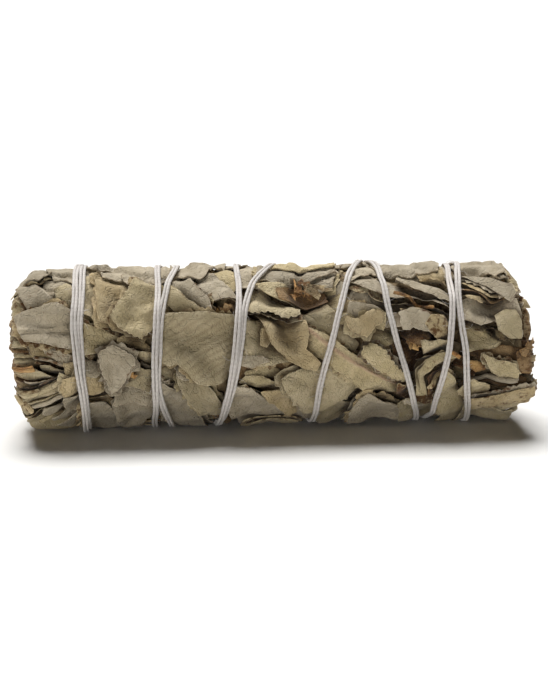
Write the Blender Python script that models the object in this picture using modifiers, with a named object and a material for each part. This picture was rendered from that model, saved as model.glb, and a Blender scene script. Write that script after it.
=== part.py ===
"""Sage smudge stick: a bundle of dried white sage, wrapped in its own leaves and tied with cotton thread.

The stick lies along X and is looked at from -Y. A place on it is given by its distance along X and by its
angle round the axis: 0 degrees faces -Y, 90 degrees is the top, 180 the back and -90 the underside.
"""
import math
import random

import bmesh
import bpy
import numpy as np

MM = 0.001

# Driving dimensions
AXIS_HEIGHT = 16.3 * MM
BODY_RADIUS = 13.15 * MM
BODY_INSET = 0.4 * MM
BODY_HALF_LENGTH = 40.0 * MM
CENTER_RADIUS = 5.2 * MM
BLADE_THICKNESS = 0.62 * MM
END_SHEET_THICKNESS = 0.65 * MM
GAP = 0.28 * MM
PRESSED_DEPTH = 0.06 * MM
THREAD_WIDTH = 1.2 * MM
THREAD_THICKNESS = 0.7 * MM
THREAD_GROOVE = 0.16 * MM
KNOT_RADIUS = 1.5 * MM
KNOT_LIFT = 0.9 * MM

# The ends are rounded: the radius falls from the shoulder to the tip
SHOULDER_X = 43.0 * MM
TIP_X = 51.5 * MM
TIP_SHRINK = 0.36
SHOULDER_POWER = 2.0

# Sprigs: one in the middle and the others round it, each with a cut stem and leaf ends that stand out
SPRIGS_ROUND = 6
FIRST_SPRIG_ANGLE = 30.0
BODY_STATIONS = 12
FOLD_HEIGHTS = [0.0, 0.35 * MM, -0.25 * MM, 0.3 * MM, -0.3 * MM, 0.25 * MM, 0.0]
SHEET_ROOT_DEPTH = 4.0 * MM
SHEET_RAGGED = 1.1 * MM
OUTER_SHEETS = [(6.6 * MM, 49.1 * MM), (10.2 * MM, 48.9 * MM), (12.1 * MM, 48.3 * MM)]
STEM_RADIUS = 1.2 * MM
STEM_PLACE_RADIUS = 8.15 * MM
STEM_END_RANGE = (44.0 * MM, 45.5 * MM)
CENTER_SIDES = 10
CENTER_FACET_SHARE = 0.97
CENTER_STATIONS = [-BODY_HALF_LENGTH, -14.0 * MM, 14.0 * MM, BODY_HALF_LENGTH]
CENTER_SHEET_RADIUS = 4.2 * MM
CENTER_SHEET_REACH = 48.4 * MM
CENTER_SHEET_SPREAD = 78.0
CENTER_STEM_RADIUS = 1.7 * MM
CENTER_STEM_ENDS = (-47.0 * MM, 46.0 * MM)

# Grid that holds the outer radius of what has been laid so far
ANGLE_CELLS = 360
CELL_LENGTH = 0.2 * MM
GRID_HALF_LENGTH = 52.0 * MM
LENGTH_CELLS = int(round(2.0 * GRID_HALF_LENGTH / CELL_LENGTH))

# How the photograph sees the stick, so that leaf edges can be given in its pixels (548 x 699 frame)
STICK_CENTER_PX = (272.0, 343.0)
FOCAL_PX = 1316.0
VIEW_DISTANCE = 262.0 * MM
VIEW_YAW = math.radians(5.0)
VIEW_ELEVATION = math.radians(12.0)
LEAF_RADIUS = 15.3 * MM

# Outer leaves are made of facets of about this size, and teeth follow each other at this distance
FACET_LENGTH = 2.6 * MM
TOOTH_PITCH = 1.3 * MM

RANDOM_SEED = 11


def seen(px, py):
    """Place on the stick, as (x, angle), of a pixel of the photograph."""
    forward = np.array([
        math.sin(VIEW_YAW) * math.cos(VIEW_ELEVATION),
        math.cos(VIEW_YAW) * math.cos(VIEW_ELEVATION),
        -math.sin(VIEW_ELEVATION),
    ])
    right = np.array([math.cos(VIEW_YAW), -math.sin(VIEW_YAW), 0.0])
    up = np.cross(right, forward)
    eye = -forward * VIEW_DISTANCE
    across = (px - STICK_CENTER_PX[0]) / FOCAL_PX
    above = (STICK_CENTER_PX[1] - py) / FOCAL_PX
    ray = forward + right * across + up * above
    a = ray[1] ** 2 + ray[2] ** 2
    b = eye[1] * ray[1] + eye[2] * ray[2]
    c = eye[1] ** 2 + eye[2] ** 2 - LEAF_RADIUS ** 2
    inside = max(b * b - a * c, 0.0)
    hit = eye + ray * ((-b - math.sqrt(inside)) / a)
    return hit[0], math.degrees(math.atan2(hit[2], -hit[1]))


def at(x_mm, degrees):
    """Place on the stick, as (x, angle), from real sizes."""
    return x_mm * MM, float(degrees)


class Leaf:
    """An outer leaf: the places along its upper and lower margins, its arch and the depth of its teeth."""

    def __init__(self, upper, lower, crown=0.12, teeth=0.0):
        self.upper = upper
        self.lower = lower
        self.crown = crown * MM
        self.teeth = teeth * MM


# Outer leaves that the photograph shows, in the order in which they were laid. Margins run left to right.
LEFT_END_LEAVES = [
    Leaf([at(-46, 122), at(-40, 125), at(-36, 125)],
         [seen(17, 277), seen(36, 284), seen(60, 283), seen(82, 282)]),
    Leaf([seen(40, 284), seen(52, 280), seen(76, 281)],
         [seen(44, 293), seen(58, 302), seen(76, 306)], crown=0.1),
    Leaf([seen(18, 283), seen(33, 286), seen(64, 311)],
         [seen(17, 292), seen(29, 306), seen(54, 313)], crown=0.15),
    Leaf([seen(30, 344), seen(50, 347), seen(82, 352)],
         [seen(34, 354), seen(47, 360), seen(80, 370)]),
    Leaf([seen(14, 317), seen(34, 312), seen(56, 309), seen(80, 316)],
         [seen(21, 341), seen(46, 343), seen(80, 348)], crown=0.2),
    Leaf([seen(24, 386), seen(42, 381), seen(62, 372)],
         [seen(26, 400), seen(44, 396), seen(63, 388)], crown=0.15),
    Leaf([seen(64, 366), seen(82, 368), seen(104, 372)],
         [seen(63, 390), seen(84, 391), seen(106, 392)]),
    Leaf([seen(30, 406), seen(52, 398), seen(86, 396)],
         [at(-44, -84), at(-38, -82), at(-32, -83)], crown=0.2),
]
FIRST_BAY_LEAVES = [
    Leaf([seen(88, 328), seen(102, 326), seen(122, 334)],
         [seen(88, 352), seen(102, 352), seen(118, 350)]),
    Leaf([seen(90, 396), seen(104, 392), seen(116, 390)],
         [at(-31, -83), at(-27, -81), at(-23, -82)], crown=0.15),
    Leaf([seen(128, 350), seen(138, 348), seen(154, 352)],
         [seen(130, 368), seen(140, 370), seen(154, 374)]),
    Leaf([seen(126, 378), seen(136, 371), seen(156, 378)],
         [seen(118, 400), seen(134, 404), seen(156, 408)]),
    Leaf([seen(98, 350), seen(114, 347), seen(134, 358)],
         [seen(102, 370), seen(109, 392), seen(116, 391)], crown=0.1, teeth=0.25),
    Leaf([at(-34, 123), at(-30, 125), at(-23, 125)],
         [seen(88, 314), seen(106, 322), seen(128, 300)], crown=0.15),
    Leaf([seen(130, 284), seen(146, 282), seen(172, 284)],
         [seen(112, 318), seen(128, 332), seen(141, 338), seen(160, 318)], crown=0.1, teeth=0.3),
]
SECOND_BAY_LEAVES = [
    Leaf([seen(160, 362), seen(168, 364), seen(178, 370)],
         [seen(160, 380), seen(168, 384), seen(180, 390)]),
    Leaf([seen(160, 386), seen(174, 398), seen(198, 416)],
         [at(-20, -83), at(-17, -81), at(-13, -82)], crown=0.15),
    Leaf([seen(180, 378), seen(198, 386), seen(222, 390)],
         [seen(188, 397), seen(202, 409), seen(222, 415)], crown=0.15),
    Leaf([seen(172, 286), seen(188, 284), seen(212, 300)],
         [seen(170, 300), seen(188, 314), seen(212, 318)], crown=0.25),
    Leaf([at(-21, 122), at(-13, 125), at(-5, 124)],
         [seen(188, 284), seen(204, 298), seen(236, 302)], crown=0.2),
    Leaf([seen(162, 316), seen(200, 315), seen(262, 321)],
         [seen(164, 360), seen(200, 381), seen(252, 364)], crown=0.1),
]
THIRD_BAY_LEAVES = [
    Leaf([seen(242, 384), seen(262, 386), seen(296, 392)],
         [at(-6, -83), at(0, -80), at(5, -83)], crown=0.35),
    Leaf([seen(252, 368), seen(270, 366), seen(286, 364)],
         [seen(250, 386), seen(266, 388), seen(284, 392)]),
    Leaf([seen(246, 290), seen(262, 286), seen(272, 292), seen(296, 313)],
         [seen(248, 311), seen(264, 313), seen(284, 319), seen(297, 318)], teeth=0.35),
    Leaf([at(-3, 122), at(4, 125), at(13, 123)],
         [seen(262, 284), seen(288, 286), seen(330, 284)], crown=0.2),
    Leaf([seen(294, 302), seen(314, 298), seen(328, 301)],
         [seen(302, 326), seen(322, 338), seen(352, 348)], crown=0.1),
    Leaf([seen(262, 324), seen(282, 322), seen(302, 326)],
         [seen(276, 348), seen(296, 362), seen(314, 364)], crown=0.2),
    Leaf([seen(284, 376), seen(312, 371), seen(338, 374)],
         [seen(292, 400), seen(320, 406), seen(362, 393)], crown=0.15),
    Leaf([seen(308, 332), seen(350, 354), seen(412, 387)],
         [seen(326, 360), seen(358, 385), seen(410, 402)], crown=0.25),
]
FOURTH_BAY_LEAVES = [
    Leaf([seen(352, 406), seen(368, 398), seen(398, 406)],
         [at(14, -83), at(20, -81), at(26, -83)], crown=0.2),
    Leaf([seen(364, 350), seen(374, 345), seen(388, 353)],
         [seen(366, 357), seen(384, 366), seen(402, 377)], teeth=0.3),
    Leaf([seen(346, 318), seen(372, 312), seen(396, 320)],
         [seen(348, 330), seen(370, 338), seen(392, 344)], crown=0.2),
    Leaf([at(15, 122), at(25, 125), at(34, 123)],
         [seen(352, 288), seen(392, 300), seen(446, 308)], crown=0.3),
    Leaf([seen(350, 302), seen(388, 309), seen(446, 322)],
         [seen(352, 313), seen(390, 324), seen(440, 340)], crown=0.25),
    Leaf([seen(420, 358), seen(436, 352), seen(462, 356)],
         [seen(419, 388), seen(440, 392), seen(464, 384)], crown=0.25),
    Leaf([seen(436, 398), seen(447, 374), seen(456, 380)],
         [at(30, -84), at(34, -81), at(37, -84)], crown=0.15),
]
RIGHT_END_LEAVES = [
    Leaf([at(36, 122), at(41, 124), at(47, 118)],
         [seen(458, 280), seen(486, 290), seen(512, 300)], crown=0.3),
    Leaf([seen(460, 300), seen(492, 300), seen(520, 306)],
         [seen(462, 336), seen(494, 346), seen(520, 344)], crown=0.25),
    Leaf([seen(466, 352), seen(494, 352), seen(526, 350)],
         [seen(466, 376), seen(496, 378), seen(526, 372)], crown=0.25),
    Leaf([seen(468, 392), seen(500, 388), seen(534, 384)],
         [at(38, -84), at(42, -82), at(46, -84)], crown=0.25),
]

# The leaf on the underside that the stick lies on, pressed flat where it meets the table
REST_LEAF = Leaf([at(-5.5, -66), at(0, -64), at(4.5, -67)],
                 [at(-5.5, -113), at(0, -115), at(4.5, -112)], crown=0.85)

# Leaves on the back, where the photograph doesn't reach, follow a rule
BACK_ROWS = [156.0, 206.0, 256.0]
BACK_COLUMNS = [-31.0 * MM, 0.0, 31.0 * MM]
BACK_LEAF_LENGTH = 33.0 * MM
BACK_LEAF_SPAN = 56.0

# Winding of the thread: each front pass, top to bottom, as seen in the photograph
FRONT_PASSES = {
    "1": [(77, 260), (75, 300), (74, 330), (76, 362), (83, 400), (84, 426)],
    "2": [(85, 260), (83, 300), (82, 330), (84, 362), (91, 400), (92, 426)],
    "3": [(158, 261), (157, 292), (153, 329), (152, 367), (153, 405), (154, 421)],
    "4": [(177, 261), (167, 290), (161, 329), (160, 367), (163, 405), (171, 421)],
    "5": [(236, 261), (238, 292), (236, 329), (231, 361), (226, 393), (219, 420)],
    "6": [(273, 261), (252, 290), (244, 329), (239, 361), (234, 393), (227, 420)],
    "7": [(357, 261), (344, 295), (335, 329), (328, 355), (321, 384), (310, 421)],
    "8": [(372, 261), (382, 282), (393, 326), (398, 342), (407, 374), (416, 421)],
    "9": [(446, 260), (448, 291), (448, 323), (447, 348), (439, 383), (426, 421)],
    "10": [(455, 260), (458, 297), (461, 323), (464, 348), (466, 380), (465, 421)],
}
WINDING_ORDER = ["2", "4", "6", "8", "10", "9", "7", "5", "3", "1"]
FIRST_RETURN_PASS = "9"

# Each pass runs straight on under the stick as far as this angle, so that passes cross on the back
UNDERSIDE_END_ANGLE = -122.0
KNOT_AT = at(-34.0, 176.0)
TAIL_LENGTH_X = 7.0 * MM
TAIL_DEGREES = 16.0
THREAD_STEP_DEGREES = 12.0

# Colours and roughness
LEAF_COLORS = [(0.24, 0.21, 0.15), (0.28, 0.25, 0.18), (0.21, 0.17, 0.11), (0.26, 0.24, 0.18)]
SPRIG_COLOR = (0.19, 0.16, 0.10)
THREAD_COLOR = (0.80, 0.77, 0.72)
DRY_ROUGHNESS = 0.85


def clear_objects():
    """Remove everything that the new file holds."""
    for item in list(bpy.data.objects):
        bpy.data.objects.remove(item)


def make_material(name, color):
    """A plain dry surface."""
    material = bpy.data.materials.new(name)
    material.use_nodes = True
    shader = material.node_tree.nodes["Principled BSDF"]
    shader.inputs["Base Color"].default_value = (*color, 1.0)
    shader.inputs["Roughness"].default_value = DRY_ROUGHNESS
    shader.inputs["Metallic"].default_value = 0.0
    return material


def mesh_object(name, points, faces, collection):
    """A new object from points in metres and faces."""
    mesh = bpy.data.meshes.new(name)
    corners = [tuple(point) for point in points]
    mesh.from_pydata(corners, [], [tuple(int(i) for i in face) for face in faces])
    mesh.update()
    item = bpy.data.objects.new(name, mesh)
    collection.objects.link(item)
    return item


def move_to(item, collection):
    """Link an object to one collection only."""
    for owner in list(item.users_collection):
        owner.objects.unlink(item)
    collection.objects.link(item)


def add_thickness(item, thickness, offset):
    """Solidify an open sheet; an offset of 1 grows it along its normals."""
    solidify = item.modifiers.new("thickness", "SOLIDIFY")
    solidify.thickness = thickness
    solidify.offset = offset
    solidify.use_even_offset = False


def bake(item):
    """Replace an object's mesh by its evaluated one."""
    bpy.context.view_layer.update()
    depsgraph = bpy.context.evaluated_depsgraph_get()
    mesh = bpy.data.meshes.new_from_object(item.evaluated_get(depsgraph))
    item.modifiers.clear()
    item.data = mesh


def shoulder(x):
    """Share of the full radius at a distance along the stick."""
    past = np.clip((np.abs(x) - SHOULDER_X) / (TIP_X - SHOULDER_X), 0.0, 1.0)
    return 1.0 - TIP_SHRINK * past ** SHOULDER_POWER


def on_cylinder(x, degrees, radius):
    """Points in space for places on the stick."""
    angle = np.radians(degrees)
    height = AXIS_HEIGHT + radius * np.sin(angle)
    return np.stack([x + 0.0 * angle, -radius * np.cos(angle), height], axis=-1)


def triangle_shares(steps):
    """Shares of the three corners for an even spread of points in a triangle."""
    shares = []
    for i in range(steps + 1):
        for j in range(steps + 1 - i):
            shares.append((i / steps, j / steps, (steps - i - j) / steps))
    return np.array(shares)


class RadiusMap:
    """Outer radius of all that has been laid, by angle and distance along the stick."""

    def __init__(self):
        self.grid = np.zeros((ANGLE_CELLS, LENGTH_CELLS))

    def cells(self, points):
        """Row, column and radius of points in space."""
        height = points[..., 2] - AXIS_HEIGHT
        degrees = np.degrees(np.arctan2(height, -points[..., 1])) % 360.0
        rows = np.round(degrees * ANGLE_CELLS / 360.0).astype(int) % ANGLE_CELLS
        columns = np.round((points[..., 0] + GRID_HALF_LENGTH) / CELL_LENGTH).astype(int)
        return rows, np.clip(columns, 0, LENGTH_CELLS - 1), np.hypot(height, points[..., 1])

    def lay(self, item):
        """Raise the map to an object's outside, with a few points for each cell that a triangle covers."""
        mesh = item.data
        mesh.calc_loop_triangles()
        corners = np.array([vertex.co[:] for vertex in mesh.vertices])
        triangles = corners[np.array([triangle.vertices[:] for triangle in mesh.loop_triangles])]
        edges = np.linalg.norm(triangles - np.roll(triangles, 1, axis=1), axis=2).max(axis=1)
        counts = np.clip(np.ceil(edges / (0.7 * CELL_LENGTH) / 8.0) * 8, 8, 48).astype(int)
        for count in np.unique(counts):
            shares = triangle_shares(int(count))
            points = np.einsum("sc,tcd->tsd", shares, triangles[counts == count])
            rows, columns, radius = self.cells(points.reshape(-1, 3))
            np.maximum.at(self.grid, (rows, columns), radius)

    def widened(self, reach):
        """The map with each cell raised to the highest within reach cells."""
        grid = self.grid
        for axis in (0, 1):
            shifted = [np.roll(grid, step, axis=axis) for step in range(-reach, reach + 1)]
            grid = np.max(shifted, axis=0)
        return grid

    def radius_at(self, place):
        """The widened radius at one place on the stick."""
        column = int((place[0] + GRID_HALF_LENGTH) / CELL_LENGTH)
        return float(self.widened(2)[int(place[1]), column])


def smooth_through(wanted, knots, values):
    """Cubic Hermite curve through values, with slopes taken from their neighbours."""
    if len(knots) > 2:
        slopes = np.gradient(values, knots)
    else:
        slopes = np.full(2, (values[-1] - values[0]) / knots[-1])
    index = np.clip(np.searchsorted(knots, wanted, side="right") - 1, 0, len(knots) - 2)
    span = knots[index + 1] - knots[index]
    t = (wanted - knots[index]) / span
    start = (2 * t ** 3 - 3 * t ** 2 + 1) * values[index]
    start = start + (t ** 3 - 2 * t ** 2 + t) * span * slopes[index]
    end = (3 * t ** 2 - 2 * t ** 3) * values[index + 1] + (t ** 3 - t ** 2) * span * slopes[index + 1]
    return start + end


def resample(places, count):
    """Evenly spaced places along a margin, on a smooth curve through the given ones."""
    places = np.array(places)
    spans = np.hypot(np.diff(places[:, 0]), np.radians(np.diff(places[:, 1])) * LEAF_RADIUS)
    knots = np.concatenate([[0.0], np.cumsum(spans)])
    wanted = np.linspace(0.0, knots[-1], count)
    curves = [smooth_through(wanted, knots, places[:, axis]) for axis in (0, 1)]
    return np.stack(curves, axis=-1)


def grid_triangles(rows, columns):
    """Triangles of a grid of points, split along alternate diagonals."""
    triangles = []
    for row in range(rows - 1):
        for column in range(columns - 1):
            a = row * columns + column
            b = a + 1
            c = a + columns
            d = c + 1
            if (row + column) % 2:
                triangles += [(a, b, d), (a, d, c)]
            else:
                triangles += [(a, b, c), (b, d, c)]
    return np.array(triangles)


def face_outward(points, triangles):
    """Turn all triangles the same way, with their normals away from the axis."""
    corners = points[triangles]
    normals = np.cross(corners[:, 1] - corners[:, 0], corners[:, 2] - corners[:, 0])
    middles = corners.mean(axis=1) - np.array([0.0, 0.0, AXIS_HEIGHT])
    outward = normals[:, 1] * middles[:, 1] + normals[:, 2] * middles[:, 2]
    return triangles[:, ::-1] if outward.sum() < 0.0 else triangles


def drape(x, degrees, triangles, ground):
    """Radii that hold every facet of a sheet a gap above the map."""
    below = ground.widened(1)
    shares = triangle_shares(6)
    squares = (shares ** 2).sum(axis=1, keepdims=True)
    radius = np.full(x.shape, BODY_RADIUS) * shoulder(x)
    for _ in range(3):
        corners = on_cylinder(x, degrees, radius)[triangles]
        samples = np.einsum("sc,tcd->tsd", shares, corners)
        rows, columns, reached = ground.cells(samples)
        short = np.clip(below[rows, columns] + GAP - reached, 0.0, None)
        lifts = short[..., None] * (shares / squares)[None]
        needed = np.zeros(x.shape)
        np.maximum.at(needed, triangles, lifts.max(axis=1))
        radius = radius + needed
    return radius


def soften(radius, rows, columns):
    """Raise the low points of a sheet part of the way to their neighbours."""
    grid = np.pad(radius.reshape(rows, columns), 1, mode="edge")
    around = (grid[:-2, 1:-1] + grid[2:, 1:-1] + grid[1:-1, :-2] + grid[1:-1, 2:]) / 4.0
    return np.maximum(radius, 0.5 * (radius + around.ravel()))


def leaf_places(leaf):
    """Grid of places over a leaf: x, angle, and the counts of rows and columns."""
    facet = TOOTH_PITCH if leaf.teeth else FACET_LENGTH
    length = abs(leaf.upper[-1][0] - leaf.upper[0][0])
    width = abs(math.radians(leaf.upper[1][1] - leaf.lower[1][1])) * LEAF_RADIUS
    columns = int(np.clip(round(length / facet), 4, 12)) + 1
    rows = int(np.clip(round(width / FACET_LENGTH), 2, 9)) + 1
    upper = resample(leaf.upper, columns)
    lower = resample(leaf.lower, columns)
    tooth_degrees = math.degrees(leaf.teeth / LEAF_RADIUS)
    lower[1::2, 1] += tooth_degrees
    lower[0::2, 1] -= tooth_degrees
    across = np.linspace(0.0, 1.0, rows)[:, None, None]
    places = (1.0 - across) * upper[None] + across * lower[None]
    return places[..., 0].ravel(), places[..., 1].ravel(), rows, columns


def build_leaf(name, leaf, ground, collection, color):
    """Lay one outer leaf over what is there and add it to the map."""
    x, degrees, rows, columns = leaf_places(leaf)
    triangles = grid_triangles(rows, columns)
    radius = soften(drape(x, degrees, triangles, ground), rows, columns)
    u = np.tile(np.linspace(-1.0, 1.0, columns), rows)
    v = np.repeat(np.linspace(-1.0, 1.0, rows), columns)
    radius = radius + leaf.crown * (1.0 - v ** 2) * (1.0 - 0.5 * u ** 2)
    points = on_cylinder(x, degrees, radius)
    points[:, 2] = np.maximum(points[:, 2], BLADE_THICKNESS)
    item = mesh_object(name, points, face_outward(points, triangles), collection)
    item.data.materials.append(make_material(name, color))
    add_thickness(item, BLADE_THICKNESS, 1.0)
    bake(item)
    for vertex in item.data.vertices:
        if vertex.co.z < PRESSED_DEPTH:
            vertex.co.z = 0.0
    ground.lay(item)
    return item


def loft(name, sections, collection):
    """A closed solid through rings of points, with flat ends."""
    ring_size = len(sections[0])
    points = [point for section in sections for point in section]
    faces = []
    for ring in range(len(sections) - 1):
        for side in range(ring_size):
            a = ring * ring_size + side
            b = ring * ring_size + (side + 1) % ring_size
            faces.append((a, b, b + ring_size, a + ring_size))
    faces.append(tuple(range(ring_size))[::-1])
    last = (len(sections) - 1) * ring_size
    faces.append(tuple(range(last, last + ring_size)))
    item = mesh_object(name, points, faces, collection)
    bm = bmesh.new()
    bm.from_mesh(item.data)
    bmesh.ops.triangulate(bm, faces=bm.faces)
    bmesh.ops.recalc_face_normals(bm, faces=bm.faces)
    bm.to_mesh(item.data)
    bm.free()
    return item


def build_body(name, middle, collection, rng):
    """The pressed leaves of one outer sprig: a wedge with folds along its outside."""
    half_angle = 180.0 / SPRIGS_ROUND
    inner = CENTER_RADIUS + GAP
    inner_angle = half_angle - math.degrees(0.5 * GAP / inner)
    outer_angle = half_angle - math.degrees(0.5 * GAP / BODY_RADIUS)
    sections = []
    for x in np.linspace(-BODY_HALF_LENGTH, BODY_HALF_LENGTH, BODY_STATIONS):
        uneven = 1.0 + rng.uniform(-0.15, 0.15)
        ring = [on_cylinder(x, middle + side * inner_angle, inner) for side in (1.0, 0.0, -1.0)]
        for side, fold in zip(np.linspace(-1.0, 1.0, len(FOLD_HEIGHTS)), FOLD_HEIGHTS):
            radius = (BODY_RADIUS - BODY_INSET) * float(shoulder(x)) + fold * uneven
            ring.append(on_cylinder(x, middle + side * outer_angle, radius))
        sections.append(ring)
    return loft(name, sections, collection)


def build_end_sheet(name, middle, spread, radius, side, reach, collection, rng):
    """One curved leaf end that stands out of a sprig's body."""
    columns = 4
    rows = 5
    across = np.linspace(-1.0, 1.0, rows)
    ragged = [rng.uniform(-SHEET_RAGGED, SHEET_RAGGED) for _ in across]
    ruffle = rng.uniform(0.15, 0.35) * MM
    turn = rng.uniform(0.0, 6.0)
    root = BODY_HALF_LENGTH - SHEET_ROOT_DEPTH
    points = []
    for row, v in enumerate(across):
        for u in np.linspace(0.0, 1.0, columns):
            distance = root + u * (reach + ragged[row] - root)
            wave = ruffle * u * math.sin(2.6 * v * math.pi + turn)
            out = (radius + wave) * float(shoulder(distance))
            points.append(on_cylinder(side * distance, middle + v * spread, out))
    points = np.array(points)
    triangles = face_outward(points, grid_triangles(rows, columns))
    sheet = mesh_object(name, points, triangles, collection)
    add_thickness(sheet, END_SHEET_THICKNESS, 0.0)
    bake(sheet)
    return sheet


def build_stem(name, middle, radius, stem_radius, start, end, collection):
    """A woody stem along the stick, cut across at both ends."""
    bpy.ops.mesh.primitive_cylinder_add(
        vertices=8,
        radius=stem_radius,
        depth=abs(end - start),
        location=on_cylinder(0.5 * (start + end), middle, radius),
        rotation=(0.0, math.pi / 2.0, 0.0),
    )
    stem = bpy.context.active_object
    stem.name = name
    move_to(stem, collection)
    bpy.context.view_layer.update()
    stem.data.transform(stem.matrix_world)
    stem.matrix_world.identity()
    return stem


def new_pieces(name):
    """A collection for the pieces that will be joined to a body."""
    pieces = bpy.data.collections.new(f"{name}_pieces")
    bpy.context.scene.collection.children.link(pieces)
    return pieces


def join_pieces(body, pieces):
    """Union a body with its pieces and remove them."""
    union = body.modifiers.new("pieces", "BOOLEAN")
    union.operation = "UNION"
    union.operand_type = "COLLECTION"
    union.collection = pieces
    union.solver = "EXACT"
    bake(body)
    for item in list(pieces.objects):
        bpy.data.objects.remove(item)
    bpy.data.collections.remove(pieces)


def build_outer_sprig(number, collection, rng):
    """One of the sprigs round the middle: body, stem and leaf ends."""
    name = f"sprig_{number}"
    middle = FIRST_SPRIG_ANGLE + 360.0 / SPRIGS_ROUND * (number - 1)
    body = build_body(name, middle, collection, rng)
    body.data.materials.append(make_material(name, SPRIG_COLOR))
    pieces = new_pieces(name)
    sheet_clearance = (0.5 * GAP + 0.35 * END_SHEET_THICKNESS) / (1.0 - TIP_SHRINK)
    for side in (-1.0, 1.0):
        for order, (radius, reach) in enumerate(OUTER_SHEETS):
            margin = min(math.degrees(sheet_clearance / radius), 9.0) + 2.5
            turned = middle + rng.uniform(-2.0, 2.0)
            far = reach + rng.uniform(-0.8, 0.6) * MM
            build_end_sheet(f"{name}_end_{order}", turned, 180.0 / SPRIGS_ROUND - margin, radius, side, far,
                            pieces, rng)
    stem_side = -1.0 if number % 2 else 1.0
    stem_start = stem_side * (BODY_HALF_LENGTH - SHEET_ROOT_DEPTH)
    stem_end = stem_side * rng.uniform(*STEM_END_RANGE)
    build_stem(f"{name}_stem", middle, STEM_PLACE_RADIUS, STEM_RADIUS, stem_start, stem_end, pieces)
    join_pieces(body, pieces)
    return body


def build_center_sprig(collection, rng):
    """The middle sprig: a round body with a thick stem and leaf ends round it."""
    name = "center_sprig"
    sections = []
    for x in CENTER_STATIONS:
        ring = []
        for index in range(CENTER_SIDES):
            share = 1.0 if index % 2 else CENTER_FACET_SHARE
            ring.append(on_cylinder(x, 360.0 * index / CENTER_SIDES, CENTER_RADIUS * share))
        sections.append(ring)
    body = loft(name, sections, collection)
    body.data.materials.append(make_material(name, SPRIG_COLOR))
    pieces = new_pieces(name)
    for side in (-1.0, 1.0):
        for order, middle in enumerate((20.0, 200.0)):
            build_end_sheet(f"{name}_end_{order}", middle + 40.0 * side, CENTER_SHEET_SPREAD,
                            CENTER_SHEET_RADIUS, side, CENTER_SHEET_REACH + order * MM, pieces, rng)
    build_stem(f"{name}_stem", 0.0, 0.0, CENTER_STEM_RADIUS, *CENTER_STEM_ENDS, pieces)
    join_pieces(body, pieces)
    return body


def back_leaves(rng):
    """Leaves that cover the back by a rule, lapped like tiles."""
    half = 0.5 * BACK_LEAF_LENGTH
    span = 0.5 * BACK_LEAF_SPAN
    leaves = []
    for middle in BACK_ROWS:
        for column in BACK_COLUMNS:
            center = column + rng.uniform(-1.5, 1.5) * MM
            tilt = rng.uniform(-7.0, 7.0)
            upper = [
                (center - half * 0.85, middle + span * 0.45 + tilt),
                (center, middle + span),
                (center + half * 0.85, middle + span * 0.45 - tilt),
            ]
            lower = [
                (center - half, middle - span * 0.35 + tilt),
                (center, middle - span),
                (center + half, middle - span * 0.35 - tilt),
            ]
            leaves.append(Leaf(upper, lower, crown=rng.uniform(0.05, 0.2)))
    return leaves


def all_leaves(rng):
    """Every outer leaf, in the order in which they were laid."""
    front = LEFT_END_LEAVES + FIRST_BAY_LEAVES + SECOND_BAY_LEAVES + THIRD_BAY_LEAVES
    front += FOURTH_BAY_LEAVES + RIGHT_END_LEAVES
    return back_leaves(rng) + front + [REST_LEAF]


def thread_route():
    """Places along the thread, as angles that keep growing, and where its return begins."""
    turn = 0.0
    return_start = 0
    knot_x, knot_degrees = KNOT_AT
    tail_x = knot_x + TAIL_LENGTH_X
    places = [(tail_x, -(knot_degrees + TAIL_DEGREES)), (knot_x, -knot_degrees)]
    for name in WINDING_ORDER:
        if name == FIRST_RETURN_PASS:
            return_start = len(places)
        for pixel in FRONT_PASSES[name]:
            x, degrees = seen(*pixel)
            places.append((x, turn - degrees))
        places.append((x, turn - UNDERSIDE_END_ANGLE))
        turn += 360.0
    places.append((knot_x, turn - knot_degrees))
    places.append((tail_x, turn - knot_degrees + TAIL_DEGREES))
    return places, return_start


def route_points(places):
    """Even steps along the route: x and angle, in the order of winding."""
    places = np.array(places)
    knots = places[:, 1]
    wanted = np.arange(knots[0], knots[-1], THREAD_STEP_DEGREES)
    return smooth_through(wanted, knots, places[:, 0]), -wanted


def thread_section():
    """Outline of the doubled strand: offsets across and outward, with a groove between the strands."""
    half = 0.5 * THREAD_WIDTH
    flat = 0.55 * half
    top = THREAD_THICKNESS
    underside = [(-half, 0.5 * top), (-flat, 0.0), (flat, 0.0), (half, 0.5 * top)]
    return underside + [(flat, top), (0.0, top - THREAD_GROOVE), (-flat, top)]


def thread_rings(x, degrees, radius):
    """Rings of points of the thread's section, laid flat on the stick."""
    middle = on_cylinder(x, degrees, radius)
    along = np.gradient(middle, axis=0)
    along /= np.linalg.norm(along, axis=1, keepdims=True)
    angle = np.radians(degrees)
    outward = np.stack([0.0 * angle, -np.cos(angle), np.sin(angle)], axis=-1)
    outward -= along * (outward * along).sum(axis=1, keepdims=True)
    outward /= np.linalg.norm(outward, axis=1, keepdims=True)
    across = np.cross(along, outward)
    section = np.array(thread_section())
    rings = middle[:, None] + across[:, None] * section[None, :, :1] + outward[:, None] * section[None, :, 1:]
    rings[..., 2] = np.maximum(rings[..., 2], 0.0)
    return rings


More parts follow.
